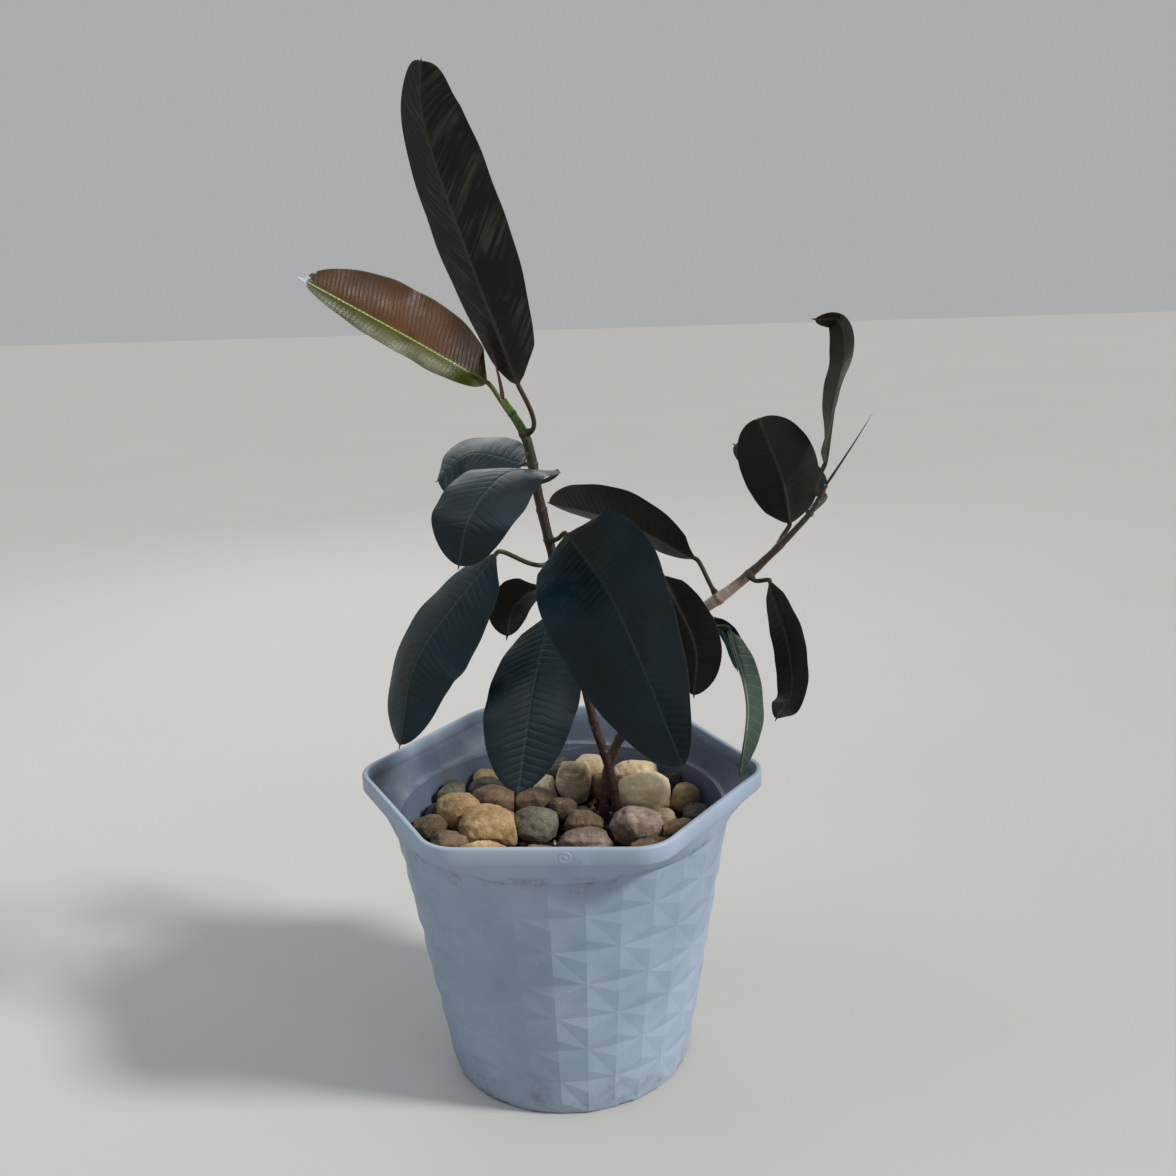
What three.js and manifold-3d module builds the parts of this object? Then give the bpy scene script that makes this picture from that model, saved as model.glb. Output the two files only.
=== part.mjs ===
// A potted rubber plant: two woody cuttings with leathery leaves, in a moulded plastic pot
// with a rounded six-sided rim, standing in soil under a bed of river pebbles.
// Units are millimetres, +Z is up, and the origin is the middle of the pot's underside.
// A corner of the rim points along +X, and the plant's front looks along -Y.
import * as THREE from "three";
import { mergeVertices } from "three/addons/utils/BufferGeometryUtils.js";
import Module from "manifold-3d";

const wasm = await Module();
wasm.setup();

// ---------------------------------------------------------------- driving dimensions
const POT_HEIGHT = 235;
const BASE_RADIUS = 92; // outside of the round body at the underside
const LEDGE_RADIUS = 125; // outside of the round body where the flare starts
const LEDGE_HEIGHT = 205;
const BAND_HEIGHT = 13; // upright band around the rim
const WALL = 3;
const FLOOR = 6; // top of the pot's floor
const RIM_CORNER = 155; // middle to a sharp corner of the rim's hexagon
const RIM_ROUNDING = 31; // radius of the hexagon's corners
const RIM_LIP = 4.5; // thickness of the band's rolled lip
const FOOT_DEPTH = 3; // how far the underside is sunk between its boss and its foot ring
const BOSS_RADIUS = 30;
const FOOT_WIDTH = 12;
const DRAIN_COUNT = 6;
const DRAIN_RADIUS = 5;
const DRAIN_CIRCLE = 55;

const GAP = 0.3; // air left between pieces that touch
const SOIL_TOP = 172; // soil level on the pot's axis
const SOIL_SLOPE = 0.07; // rise of the soil towards the back
const SOIL_EDGE = 12; // how far below the soil's level its upright side ends
const ROOT_DEPTH = 130; // level at which the cuttings' ends stand in the soil
const SOCKET_RADIUS = 5.5; // of the floor under each cutting's end
const STONE_FLANK = 12; // how far below its middle an outer pebble leans on the wall

const STEM_SIDES = 10;
const STEM_STEPS = 30;
const PETIOLE_RADIUS = 1.7;
const LEAF_THICKNESS = 1.2;
const PETIOLE_STEPS = 4;
const FOOT_REACH = 0.35;
const BASE_REACH = 0.15;
const BLADE_STEPS = 10;

// ---------------------------------------------------------------- finishes
const finish = (color, roughness) => new THREE.MeshStandardMaterial({ color, roughness, metalness: 0 });
const POT_PLASTIC = finish(0x8d9cb0, 0.5);
const SOIL = finish(0x2e231b, 1);
const LEFT_BARK = finish(0x3a2620, 0.8);
const RIGHT_BARK = finish(0x8a6a5c, 0.75);
const BUD = finish(0x6b2f2a, 0.5);
const DARK_LEAF = finish(0x12241f, 0.35);
const YOUNG_LEAF = finish(0x4c3d10, 0.25);
const STONES = {
  tan: finish(0x9a8365, 0.85),
  cream: finish(0xcdb896, 0.85),
  grey: finish(0x74736b, 0.85),
  dark: finish(0x3b3935, 0.85),
  brown: finish(0x66533d, 0.85),
  speckled: finish(0x7a6a60, 0.85),
};

// ---------------------------------------------------------------- helpers
const group = new THREE.Group();

function addPart(name, geometry, material) {
  const mesh = new THREE.Mesh(geometry, material);
  mesh.name = name;
  group.add(mesh);
}

const degrees = THREE.MathUtils.degToRad;
const lerp = THREE.MathUtils.lerp;
const vector = ([x, y, z]) => new THREE.Vector3(x, y, z);

// A closed skin over rings of equal length, each ring running anticlockwise about the way
// ahead, with a fan from a single point at each end.
function loft(first, rings, last) {
  const sides = rings[0].length;
  const points = [first, ...rings.flat(), last];
  const faces = [];
  const at = (ring, side) => 1 + ring * sides + (side % sides);
  const end = points.length - 1;
  for (let side = 0; side < sides; side++) {
    faces.push(0, at(0, side + 1), at(0, side));
    faces.push(end, at(rings.length - 1, side), at(rings.length - 1, side + 1));
    for (let ring = 0; ring + 1 < rings.length; ring++) {
      faces.push(at(ring, side), at(ring, side + 1), at(ring + 1, side + 1));
      faces.push(at(ring, side), at(ring + 1, side + 1), at(ring + 1, side));
    }
  }
  const geometry = new THREE.BufferGeometry().setFromPoints(points);
  geometry.setIndex(faces);
  return geometry;
}

function toSolid(geometry) {
  const bare = new THREE.BufferGeometry().setAttribute("position", geometry.getAttribute("position"));
  bare.setIndex(geometry.index);
  const merged = mergeVertices(bare, 1e-3);
  return new wasm.Manifold(
    new wasm.Mesh({
      numProp: 3,
      vertProperties: new Float32Array(merged.attributes.position.array),
      triVerts: new Uint32Array(merged.index.array),
    }),
  );
}

function toGeometry(solid) {
  const mesh = solid.getMesh();
  const geometry = new THREE.BufferGeometry();
  geometry.setAttribute("position", new THREE.BufferAttribute(mesh.vertProperties, 3));
  geometry.setIndex(new THREE.BufferAttribute(mesh.triVerts, 1));
  return geometry;
}

// ---------------------------------------------------------------- pot
// Distance from the axis to the rounded hexagon, by the angle from its nearest corner.
function rimRadius(angle) {
  const sixth = Math.PI / 3;
  const off = Math.abs(angle - Math.round(angle / sixth) * sixth);
  const flat = RIM_CORNER * Math.cos(Math.PI / 6);
  const centre = (flat - RIM_ROUNDING) / Math.cos(Math.PI / 6);
  const tangent = Math.atan2(RIM_ROUNDING / 2, centre + RIM_ROUNDING * Math.cos(Math.PI / 6));
  if (off > tangent) return flat / Math.cos(Math.PI / 6 - off);
  return centre * Math.cos(off) + Math.sqrt(RIM_ROUNDING ** 2 - (centre * Math.sin(off)) ** 2);
}

// One ring of the pot: round, or the rim's hexagon moved in by an inset.
const SECTOR = [-24, -18, -12, -6, -3, 0, 3, 6, 12, 18, 24, 30]; // degrees from a corner
const POT_ANGLES = [0, 1, 2, 3, 4, 5].flatMap((corner) => SECTOR.map((step) => degrees(corner * 60 + step)));
const ringOf = (z, radius) =>
  POT_ANGLES.map((angle) => {
    const r = radius(angle);
    return new THREE.Vector3(r * Math.cos(angle), r * Math.sin(angle), z);
  });
const round = (z, radius) => ringOf(z, () => radius);
const hexagon = (z, inset) => ringOf(z, (angle) => rimRadius(angle) - inset);

const innerRadius = (z) => {
  const part = (z - FLOOR) / (LEDGE_HEIGHT - FLOOR);
  return lerp(BASE_RADIUS - WALL, LEDGE_RADIUS - WALL, part);
};

function makePot() {
  const footInside = BASE_RADIUS - FOOT_WIDTH;
  const bandBottom = POT_HEIGHT - BAND_HEIGHT;
  const shell = loft(
    new THREE.Vector3(0, 0, 0),
    [
      round(0, BOSS_RADIUS),
      round(FOOT_DEPTH, BOSS_RADIUS + FOOT_DEPTH),
      round(FOOT_DEPTH, footInside - FOOT_DEPTH),
      round(0, footInside),
      round(0, BASE_RADIUS - 2),
      round(2, BASE_RADIUS),
      round(LEDGE_HEIGHT, LEDGE_RADIUS),
      round(LEDGE_HEIGHT + 1, LEDGE_RADIUS + 1.5),
      hexagon(bandBottom - 1, 2.5),
      hexagon(bandBottom, 0),
      hexagon(POT_HEIGHT - 1.5, 0),
      hexagon(POT_HEIGHT, 1.5),
      hexagon(POT_HEIGHT, RIM_LIP - 1.5),
      hexagon(POT_HEIGHT - 1.5, RIM_LIP),
      hexagon(bandBottom + 2, RIM_LIP + 1),
      round(LEDGE_HEIGHT + 2, LEDGE_RADIUS - 0.5),
      round(LEDGE_HEIGHT, LEDGE_RADIUS - WALL),
      round(FLOOR + 3, innerRadius(FLOOR + 3)),
      round(FLOOR, BASE_RADIUS - WALL - 3),
    ],
    new THREE.Vector3(0, 0, FLOOR),
  );
  let solid = toSolid(shell);
  for (let i = 0; i < DRAIN_COUNT; i++) {
    const turn = (i * 2 * Math.PI) / DRAIN_COUNT;
    const hole = new THREE.CylinderGeometry(DRAIN_RADIUS, DRAIN_RADIUS, 3 * FLOOR, 12);
    hole.rotateX(Math.PI / 2).translate(DRAIN_CIRCLE, 0, FLOOR / 2).rotateZ(turn);
    const notch = new THREE.BoxGeometry(2 * FOOT_WIDTH, FOOT_WIDTH, 2 * FOOT_DEPTH - 1);
    notch.translate(BASE_RADIUS - FOOT_WIDTH / 2, 0, 0).rotateZ(turn);
    solid = solid.subtract(toSolid(hole)).subtract(toSolid(notch));
  }
  addPart("pot", toGeometry(solid), POT_PLASTIC);
}

// ---------------------------------------------------------------- stems and buds
// Each stem runs through its points; radii are spread evenly along it, and nodes are the
// swollen rings, given by their height, where leaves grow or have dropped.
const STEMS = {
  left: {
    material: LEFT_BARK,
    points: [
      [40, 28, 130], [40, 28, 185], [34, 30, 225], [24, 30, 262], [11, 30, 330],
      [-1, 28, 390], [-10, 25, 440], [-16, 22, 480], [-31, 20, 510],
    ],
    radii: [3.6, 3.5, 3.4, 3.4, 3.4, 3.5, 3.6, 3.5, 2.4],
    nodes: [205, 235, 262, 290, 320, 350, 375, 388, 405, 428, 450, 462, 485, 500],
    tip: [-38, 20, 545],
  },
  right: {
    material: RIGHT_BARK,
    points: [
      [28, 40, 130], [29, 40, 185], [34, 44, 220], [48, 49, 250], [62, 52, 283], [80, 53, 315],
      [107, 50, 341], [132, 45, 361], [157, 40, 385], [186, 30, 419], [198, 25, 442],
    ],
    radii: [3.8, 3.6, 3.5, 3.6, 3.9, 4.3, 4.2, 3.1, 2, 1.5],
    nodes: [205, 240, 270, 296, 322, 330, 338, 352, 372, 395, 420, 435],
    tip: [229, 15, 495],
  },
};

for (const stem of Object.values(STEMS)) {
  stem.curve = new THREE.CatmullRomCurve3(stem.points.map(vector), false, "catmullrom", 0.5);
  stem.swelling = (z) => {
    const nearest = Math.min(...stem.nodes.map((height) => Math.abs(z - height)));
    return 1 + 0.12 * Math.max(0, 1 - nearest / 4);
  };
}

// The place on a stem at a given height, found by halving the way along its curve.
function stemAt(stem, height) {
  let low = 0;
  let high = 1;
  for (let i = 0; i < 30; i++) {
    const middle = (low + high) / 2;
    if (stem.curve.getPoint(middle).z < height) low = middle;
    else high = middle;
  }
  return { centre: stem.curve.getPoint(low), ahead: stem.curve.getTangent(low), along: low };
}

function stemRadius(stem, along) {
  const place = along * (stem.radii.length - 1);
  const step = Math.min(Math.floor(place), stem.radii.length - 2);
  return lerp(stem.radii[step], stem.radii[step + 1], place - step);
}

function circle(centre, ahead, radius, sides) {
  const across = new THREE.Vector3(0, 1, 0).cross(ahead).normalize();
  const up = ahead.clone().cross(across);
  return Array.from({ length: sides }, (_, i) => {
    const angle = (i * 2 * Math.PI) / sides;
    return centre
      .clone()
      .addScaledVector(across, radius * Math.cos(angle))
      .addScaledVector(up, radius * Math.sin(angle));
  });
}

// A stem from one share of its length to another, thicker all round by an allowance.
function stemTube(stem, from, to, steps, grown) {
  const rings = [];
  for (let i = 0; i <= steps; i++) {
    const along = lerp(from, to, i / steps);
    const centre = stem.curve.getPoint(along);
    const radius = stemRadius(stem, along) * stem.swelling(centre.z) + grown;
    rings.push(circle(centre, stem.curve.getTangent(along), radius, STEM_SIDES));
  }
  const first = stem.curve.getPoint(from);
  const last = stem.curve.getPoint(to);
  return loft(first, rings, last);
}

function makeBud(name, stem) {
  const end = stem.curve.getPoint(1);
  const ahead = vector(stem.tip).sub(end).normalize();
  const length = vector(stem.tip).distanceTo(end);
  const start = stem.curve.getTangent(1).multiplyScalar(1.5).add(end);
  const thick = 0.85 * stem.radii.at(-1);
  const shares = [[0, 0.8], [0.12, 1], [0.4, 0.65], [0.75, 0.3]];
  const rings = shares.map(([along, size]) =>
    circle(start.clone().addScaledVector(ahead, along * (length - 1.5)), ahead, thick * size, 8),
  );
  addPart(name, loft(start, rings, vector(stem.tip)), BUD);
}

// ---------------------------------------------------------------- soil
const soilLevel = (y) => SOIL_TOP + SOIL_SLOPE * y;

function makeSoil() {
  const clearance = 2 * GAP;
  const topRing = (share) =>
    POT_ANGLES.map((angle) => {
      const radius = share * (innerRadius(SOIL_TOP - SOIL_EDGE) - clearance);
      const y = radius * Math.sin(angle);
      return new THREE.Vector3(radius * Math.cos(angle), y, soilLevel(y) + share * Math.sin(5 * angle));
    });
  const body = loft(
    new THREE.Vector3(0, 0, FLOOR + GAP),
    [
      round(FLOOR + GAP, BASE_RADIUS - WALL - 4),
      round(FLOOR + 4, innerRadius(FLOOR + 4) - clearance),
      round(SOIL_TOP - SOIL_EDGE, innerRadius(SOIL_TOP - SOIL_EDGE) - clearance),
      topRing(1),
      topRing(0.6),
    ],
    new THREE.Vector3(0, 0, SOIL_TOP),
  );
  let solid = toSolid(body);
  for (const stem of Object.values(STEMS)) {
    const steps = Math.ceil(stemAt(stem, SOIL_TOP + 20).along * STEM_STEPS);
    const socket = stemTube(stem, 0, steps / STEM_STEPS, steps, 2 * GAP);
    const floor = new THREE.CylinderGeometry(SOCKET_RADIUS, SOCKET_RADIUS, 2 * GAP, STEM_SIDES);
    const [x, y] = stem.points[0];
    floor.rotateX(Math.PI / 2).translate(x, y, ROOT_DEPTH - GAP / 2);
    solid = solid.subtract(toSolid(socket)).subtract(toSolid(floor));
  }
  addPart("soil", toGeometry(solid), SOIL);
}

// ---------------------------------------------------------------- leaves
// Each leaf grows from its stem at a height. Its midrib runs through hand-set points from
// the blade's base to its tip. face is the way its upper side looks, as a heading from +X and
// a rise, in degrees; twist turns that from base to tip, fold bends both halves up from the
// midrib, and cup curls the edges. belly below 1 sets the widest place nearer the base, and
// a smaller blunt gives rounder ends.
const LEAVES = [
  {
    name: "crown_leaf", stem: "left", height: 485, width: 69, face: [60, -5], twist: -8, fold: 20,
    cup: 0.04, belly: 1.1, blunt: 0.38,
    rib: [[-19, 15, 520], [-46, 25, 595], [-68, 25, 665], [-76, 18, 708], [-73, 10, 738]],
  },
  {
    name: "young_leaf", stem: "left", height: 500, width: 62, face: [-90, 45], twist: 5, fold: 24,
    cup: 0.12, belly: 0.88, blunt: 0.58, rib: [[-43, 30, 521], [-90, 10, 554], [-156, -25, 600]],
  },
  {
    name: "upper_back_leaf", stem: "left", height: 462, width: 66, face: [-95, 62], twist: -10, fold: -6,
    cup: -0.15, belly: 1.5, blunt: 0.36, rib: [[-20, 36, 460], [-62, 62, 464], [-90, 64, 444]],
  },
  {
    name: "upper_front_leaf", stem: "left", height: 450, width: 80, face: [-130, 42], twist: 20, fold: 4,
    cup: -0.1, belly: 1.2, blunt: 0.58,
    rib: [[6, 6, 460], [-26, -30, 466], [-48, -58, 441], [-56, -66, 411]],
  },
  {
    name: "low_left_leaf", stem: "left", height: 388, width: 78, face: [-135, 25], twist: 5, fold: -8,
    cup: -0.12, belly: 1.05, blunt: 0.62, rib: [[-39, -2, 403], [-98, -15, 330], [-111, -42, 272]],
  },
  {
    name: "small_back_leaf", stem: "left", height: 375, width: 40, face: [105, 40], twist: 0, fold: 10,
    cup: 0.1, belly: 0.8, blunt: 0.5,
    rib: [[-14, 48, 364], [-28, 60, 354], [-40, 66, 338], [-44, 68, 318]],
  },
  {
    name: "low_front_leaf", stem: "left", height: 350, width: 77, face: [-115, 25], twist: 0, fold: 6,
    cup: -0.1, belly: 1, blunt: 0.57, rib: [[-5, 18, 350], [-13, -42, 310], [-20, -92, 257]],
  },
  {
    name: "big_front_leaf", stem: "left", height: 405, width: 100, face: [-152, 42], twist: 18, fold: 22,
    cup: -0.02, belly: 0.84, blunt: 0.6, rib: [[10, 13, 413], [49, -50, 374], [93, -105, 281]],
  },
  {
    name: "arching_leaf", stem: "right", height: 352, width: 52, face: [90, 30], twist: 0, fold: 14,
    cup: 0.1, belly: 1.07, blunt: 0.63, rib: [[104, 60, 380], [48, 88, 404], [-13, 135, 409]],
  },
  {
    name: "hanging_leaf", stem: "right", height: 322, width: 42, face: [70, 15], twist: -5, fold: 8,
    cup: 0.05, belly: 1, blunt: 0.55, rib: [[79, 36, 374], [102, 28, 322], [101, 22, 284]],
  },
  {
    name: "folded_leaf", stem: "right", height: 330, width: 20, face: [-60, 20], twist: 0, fold: 40,
    cup: 0.1, belly: 1, blunt: 0.55, rib: [[116, 75, 328], [128, 78, 309], [135, 75, 286]],
  },
  {
    name: "narrow_leaf", stem: "right", height: 338, width: 38, face: [-17, 20], twist: 20, fold: 16,
    cup: 0.08, belly: 1, blunt: 0.6, rib: [[128, 36, 331], [141, 22, 278], [134, -2, 231]],
  },
  {
    name: "drooping_leaf", stem: "right", height: 372, width: 42, face: [45, 25], twist: 5, fold: 0,
    cup: 0, belly: 0.97, blunt: 0.58,
    rib: [[158, 25, 371], [170, 10, 330], [172, -6, 297], [160, -20, 281]],
  },
  {
    name: "oval_leaf", stem: "right", height: 395, width: 57, face: [90, 18], twist: 0, fold: 12,
    cup: 0.1, belly: 1, blunt: 0.5, rib: [[174, 50, 408], [168, 42, 443], [150, 26, 491]],
  },
  {
    name: "twisted_leaf", stem: "right", height: 435, width: 34, face: [195, -30], twist: -75, fold: 10,
    cup: 0.05, belly: 0.72, blunt: 0.5,
    rib: [[197, 26, 457], [203, 22, 505], [210, 24, 535], [206, 24, 558], [189, 22, 560]],
  },
  {
    name: "hidden_leaf", stem: "right", height: 420, width: 42, face: [-95, 55], twist: 0, fold: 8,
    cup: 0, belly: 1, blunt: 0.55, rib: [[200, 56, 428], [169, 86, 443], [136, 106, 458]],
  },
];

const RING = [0, 1, 2, 3, 4, 5, 6, 7].map((i) => {
  const angle = Math.PI - (i * Math.PI) / 4;
  return { across: -Math.cos(angle), up: -Math.sin(angle) };
});

function makeLeaf(leaf) {
  const stem = STEMS[leaf.stem];
  const rib = new THREE.CatmullRomCurve3(leaf.rib.map(vector), false, "catmullrom", 0.5);
  const base = rib.getPoint(0);
  const start = rib.getTangent(0);
  const [heading, rise] = leaf.face.map(degrees);
  const face = new THREE.Vector3(
    Math.cos(heading) * Math.cos(rise),
    Math.sin(heading) * Math.cos(rise),
    Math.sin(rise),
  );

  // The petiole leaves the stem square to it and meets the midrib without a kink.
  const joint = stemAt(stem, leaf.height);
  const out = base.clone().sub(joint.centre);
  const distance = out.length();
  out.addScaledVector(joint.ahead, -out.dot(joint.ahead)).normalize();
  const bark = 1.12 * stemRadius(stem, joint.along) + 3 * GAP;
  const foot = joint.centre.clone().addScaledVector(out, bark);
  const petiole = new THREE.CubicBezierCurve3(
    foot,
    foot.clone().addScaledVector(out, FOOT_REACH * distance),
    base.clone().addScaledVector(start, -BASE_REACH * distance),
    base,
  );

  const stations = [];
  for (let i = 0; i < PETIOLE_STEPS; i++) {
    const t = i / PETIOLE_STEPS;
    stations.push({ centre: petiole.getPoint(t), ahead: petiole.getTangent(t), t: 0, flat: 0 });
  }
  for (let i = 0; i <= BLADE_STEPS; i++) {
    const t = (1 - Math.cos((Math.PI * i) / BLADE_STEPS)) / 2;
    const flat = Math.min(1, i / 2);
    stations.push({ centre: rib.getPointAt(t), ahead: rib.getTangentAt(t), t, flat });
  }

  // The blade's upper side looks along face; the petiole carries that on from the base.
  const bladeUp = (ahead) => face.clone().addScaledVector(ahead, -face.dot(ahead)).normalize();
  let carried = bladeUp(start);
  for (let i = stations.length - 1; i >= 0; i--) {
    const { ahead, t } = stations[i];
    if (i >= PETIOLE_STEPS) carried = bladeUp(ahead);
    else carried = carried.clone().addScaledVector(ahead, -carried.dot(ahead)).normalize();
    const turn = degrees(leaf.twist) * (t - 0.5);
    stations[i].up = carried.clone().applyAxisAngle(ahead, -turn);
  }

  const rings = stations.map(({ centre, ahead, up, t, flat }) => {
    const side = ahead.clone().cross(up);
    const share = t ** leaf.belly;
    const blade = (leaf.width / 2) * Math.max(0, 4 * share * (1 - share)) ** leaf.blunt;
    const stalk = PETIOLE_RADIUS * (1 - 0.8 * t);
    const half = Math.max(stalk, blade);
    const thick = lerp(stalk, LEAF_THICKNESS / 2, flat);
    const fold = degrees(leaf.fold) * flat;
    return RING.map((spot) => {
      const spread = Math.abs(spot.across);
      const lift = spread * half * Math.sin(fold) + leaf.cup * flat * spread ** 2 * half;
      const skin = lerp(spot.up, Math.sign(Math.round(2 * spot.up)), flat) * thick;
      return centre
        .clone()
        .addScaledVector(side, spot.across * half * Math.cos(fold))
        .addScaledVector(up, lift + skin);
    });
  });
  const tip = rib.getPoint(1).addScaledVector(rib.getTangent(1), 1);
  addPart(leaf.name, loft(foot, rings, tip), leaf.name === "young_leaf" ? YOUNG_LEAF : DARK_LEAF);
}

// ---------------------------------------------------------------- pebbles
// Each pebble is placed by x and y, then its length, depth and height, its turn in degrees
// and its kind of stone. It rests on the soil and is dented where it meets what is beside it.
const PEBBLES = [
  [-97, 60, 34, 30, 24, 10, "grey"],
  [-104, 34, 20, 22, 16, 0, "dark"],
  [-103, 6, 28, 28, 22, 30, "brown"],
  [-84, 25, 38, 34, 30, 20, "tan"],
  [-58, 44, 42, 32, 26, -10, "brown"],
  [-84, -20, 32, 28, 22, 0, "brown"],
  [-56, 2, 52, 42, 30, 5, "tan"],
  [-22, 8, 38, 36, 26, -20, "grey"],
  [-26, 44, 42, 30, 24, -15, "brown"],
  [-70, 84, 24, 22, 20, 40, "tan"],
  [-68, 66, 32, 22, 22, 15, "dark"],
  [4, 68, 28, 28, 36, 10, "cream"],
  [-20, 70, 18, 22, 22, 30, "cream"],
  [-12, 96, 32, 26, 26, 0, "dark"],
  [16, 96, 28, 26, 28, 20, "cream"],
  [-2, 28, 22, 24, 24, 60, "brown"],
  [13, 30, 16, 16, 16, 0, "dark"],
  [16, 8, 32, 26, 24, 15, "brown"],
  [18, -16, 42, 26, 22, 5, "speckled"],
  [53, 86, 44, 32, 26, -8, "cream"],
  [62, 52, 46, 38, 32, -12, "cream"],
  [84, 78, 26, 22, 22, 30, "dark"],
  [92, 51, 26, 24, 24, -20, "tan"],
  [76, 26, 20, 18, 16, 20, "cream"],
  [57, 4, 42, 36, 28, -15, "speckled"],
  [103, 24, 24, 32, 20, 0, "dark"],
  [89, -4, 32, 28, 22, 20, "brown"],
  [26, 72, 22, 24, 22, 0, "tan"],
  [-56, -44, 44, 36, 26, 10, "tan"],
  [-92, -52, 28, 30, 22, -30, "grey"],
  [-14, -50, 40, 36, 26, -10, "brown"],
  [28, -50, 42, 34, 26, 10, "grey"],
  [70, -38, 38, 34, 26, 0, "brown"],
  [-42, -84, 44, 34, 24, -25, "cream"],
  [2, -90, 42, 34, 24, 0, "tan"],
  [48, -82, 38, 34, 24, 30, "dark"],
  [98, -40, 24, 28, 20, 60, "tan"],
];

// Small lumps that differ from stone to stone and never change between builds.
const lump = (direction, seed) =>
  Math.sin(3.1 * direction.x + 1.7 * seed) * Math.sin(2.7 * direction.y + 2.3 * seed) +
  0.6 * Math.sin(5.3 * direction.z + 4.1 * direction.x + seed);

const pebbles = PEBBLES.map(([x, y, length, depth, height, turn, stone], index) => ({
  name: `pebble_${String(index + 1).padStart(2, "0")}`,
  centre: new THREE.Vector3(x, y, soilLevel(y) + 0.46 * height),
  half: new THREE.Vector3(length / 2, depth / 2, height / 2),
  turn: degrees(turn),
  seed: index + 1,
  stone,
}));

// How far a pebble could reach along a direction if nothing stood beside it. The exponent
// makes it a little more blocky than an ellipsoid.
const BLOCKY = 2.5;
function freeReach(pebble, direction) {
  const local = direction.clone().applyAxisAngle(new THREE.Vector3(0, 0, 1), -pebble.turn);
  const sum =
    Math.abs(local.x / pebble.half.x) ** BLOCKY +
    Math.abs(local.y / pebble.half.y) ** BLOCKY +
    Math.abs(local.z / pebble.half.z) ** BLOCKY;
  return sum ** (-1 / BLOCKY) * (1 + 0.06 * lump(local, pebble.seed));
}

// The planes a pebble stays behind: the soil, its neighbours, the stems and the pot's wall.
function limitsOf(pebble) {
  const planes = [];
  const slope = new THREE.Vector3(0, SOIL_SLOPE, -1).normalize();
  const soilPoint = new THREE.Vector3(0, 0, SOIL_TOP + 1 + 2 * GAP);
  planes.push({ normal: slope, distance: soilPoint.sub(pebble.centre).dot(slope) });
  for (const other of pebbles) {
    if (other === pebble) continue;
    const between = other.centre.clone().sub(pebble.centre);
    const apart = between.length();
    const normal = between.divideScalar(apart);
    const mine = freeReach(pebble, normal);
    const theirs = freeReach(other, normal.clone().negate());
    const distance = (apart + mine - theirs) / 2 - GAP;
    planes.push({ normal, distance: Math.max(distance, 0.25 * apart) });
  }
  for (const stem of Object.values(STEMS)) {
    const axis = stemAt(stem, pebble.centre.z).centre;
    const normal = axis.sub(pebble.centre).setZ(0);
    const apart = normal.length();
    planes.push({ normal: normal.divideScalar(apart), distance: apart - 1.3 * stem.radii[0] - 1 });
  }
  for (let i = 0; i < 24; i++) {
    const angle = (i * Math.PI) / 12;
    const normal = new THREE.Vector3(Math.cos(angle), Math.sin(angle), 0);
    const wall = innerRadius(pebble.centre.z - STONE_FLANK) - 3 * GAP;
    planes.push({ normal, distance: wall - pebble.centre.dot(normal) });
  }
  return planes;
}

function makePebble(pebble) {
  const limits = limitsOf(pebble);
  const geometry = new THREE.IcosahedronGeometry(1, 1);
  geometry.deleteAttribute("normal");
  geometry.deleteAttribute("uv");
  const ball = mergeVertices(geometry, 1e-4);
  const position = ball.getAttribute("position");
  const direction = new THREE.Vector3();
  for (let i = 0; i < position.count; i++) {
    direction.fromBufferAttribute(position, i).normalize();
    let reach = freeReach(pebble, direction);
    for (const { normal, distance } of limits) {
      const facing = direction.dot(normal);
      if (facing > 1e-6) reach = Math.min(reach, distance / facing);
    }
    const spot = direction.clone().multiplyScalar(reach).add(pebble.centre);
    position.setXYZ(i, spot.x, spot.y, spot.z);
  }
  addPart(pebble.name, ball, STONES[pebble.stone]);
}

// ---------------------------------------------------------------- the whole plant
makePot();
makeSoil();
addPart("stem_left", stemTube(STEMS.left, 0, 1, STEM_STEPS, 0), LEFT_BARK);
addPart("stem_right", stemTube(STEMS.right, 0, 1, STEM_STEPS, 0), RIGHT_BARK);
makeBud("bud_left", STEMS.left);
makeBud("bud_right", STEMS.right);
LEAVES.forEach(makeLeaf);
pebbles.forEach(makePebble);

export default group;
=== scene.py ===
# %% [markdown]
# # A potted rubber plant
# Two woody cuttings with thick, leathery leaves stand in a moulded plastic pot whose rim is a
# rounded hexagon. River pebbles cover the soil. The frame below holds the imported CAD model, in
# metres. Every piece made here rides on its one body, "root", and most stand in for a CAD node.

# %% Load the frame
import math

import bmesh
import bpy
import numpy as np
from mathutils import Matrix, Vector, noise


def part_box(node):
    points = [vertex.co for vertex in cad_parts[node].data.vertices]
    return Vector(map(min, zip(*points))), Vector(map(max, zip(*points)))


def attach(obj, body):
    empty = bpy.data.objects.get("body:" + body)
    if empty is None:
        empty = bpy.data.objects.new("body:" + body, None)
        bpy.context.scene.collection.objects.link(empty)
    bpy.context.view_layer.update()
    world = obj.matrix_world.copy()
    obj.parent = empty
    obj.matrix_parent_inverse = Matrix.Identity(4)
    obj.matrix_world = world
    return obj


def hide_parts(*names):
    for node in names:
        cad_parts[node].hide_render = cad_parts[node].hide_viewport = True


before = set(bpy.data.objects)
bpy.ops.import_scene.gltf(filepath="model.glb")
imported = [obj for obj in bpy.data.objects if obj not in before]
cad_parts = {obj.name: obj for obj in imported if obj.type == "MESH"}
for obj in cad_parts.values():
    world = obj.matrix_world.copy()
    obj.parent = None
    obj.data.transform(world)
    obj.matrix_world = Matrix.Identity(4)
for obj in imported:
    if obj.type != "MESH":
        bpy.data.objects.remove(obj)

MM = 0.001
TURN = 2 * math.pi

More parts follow.
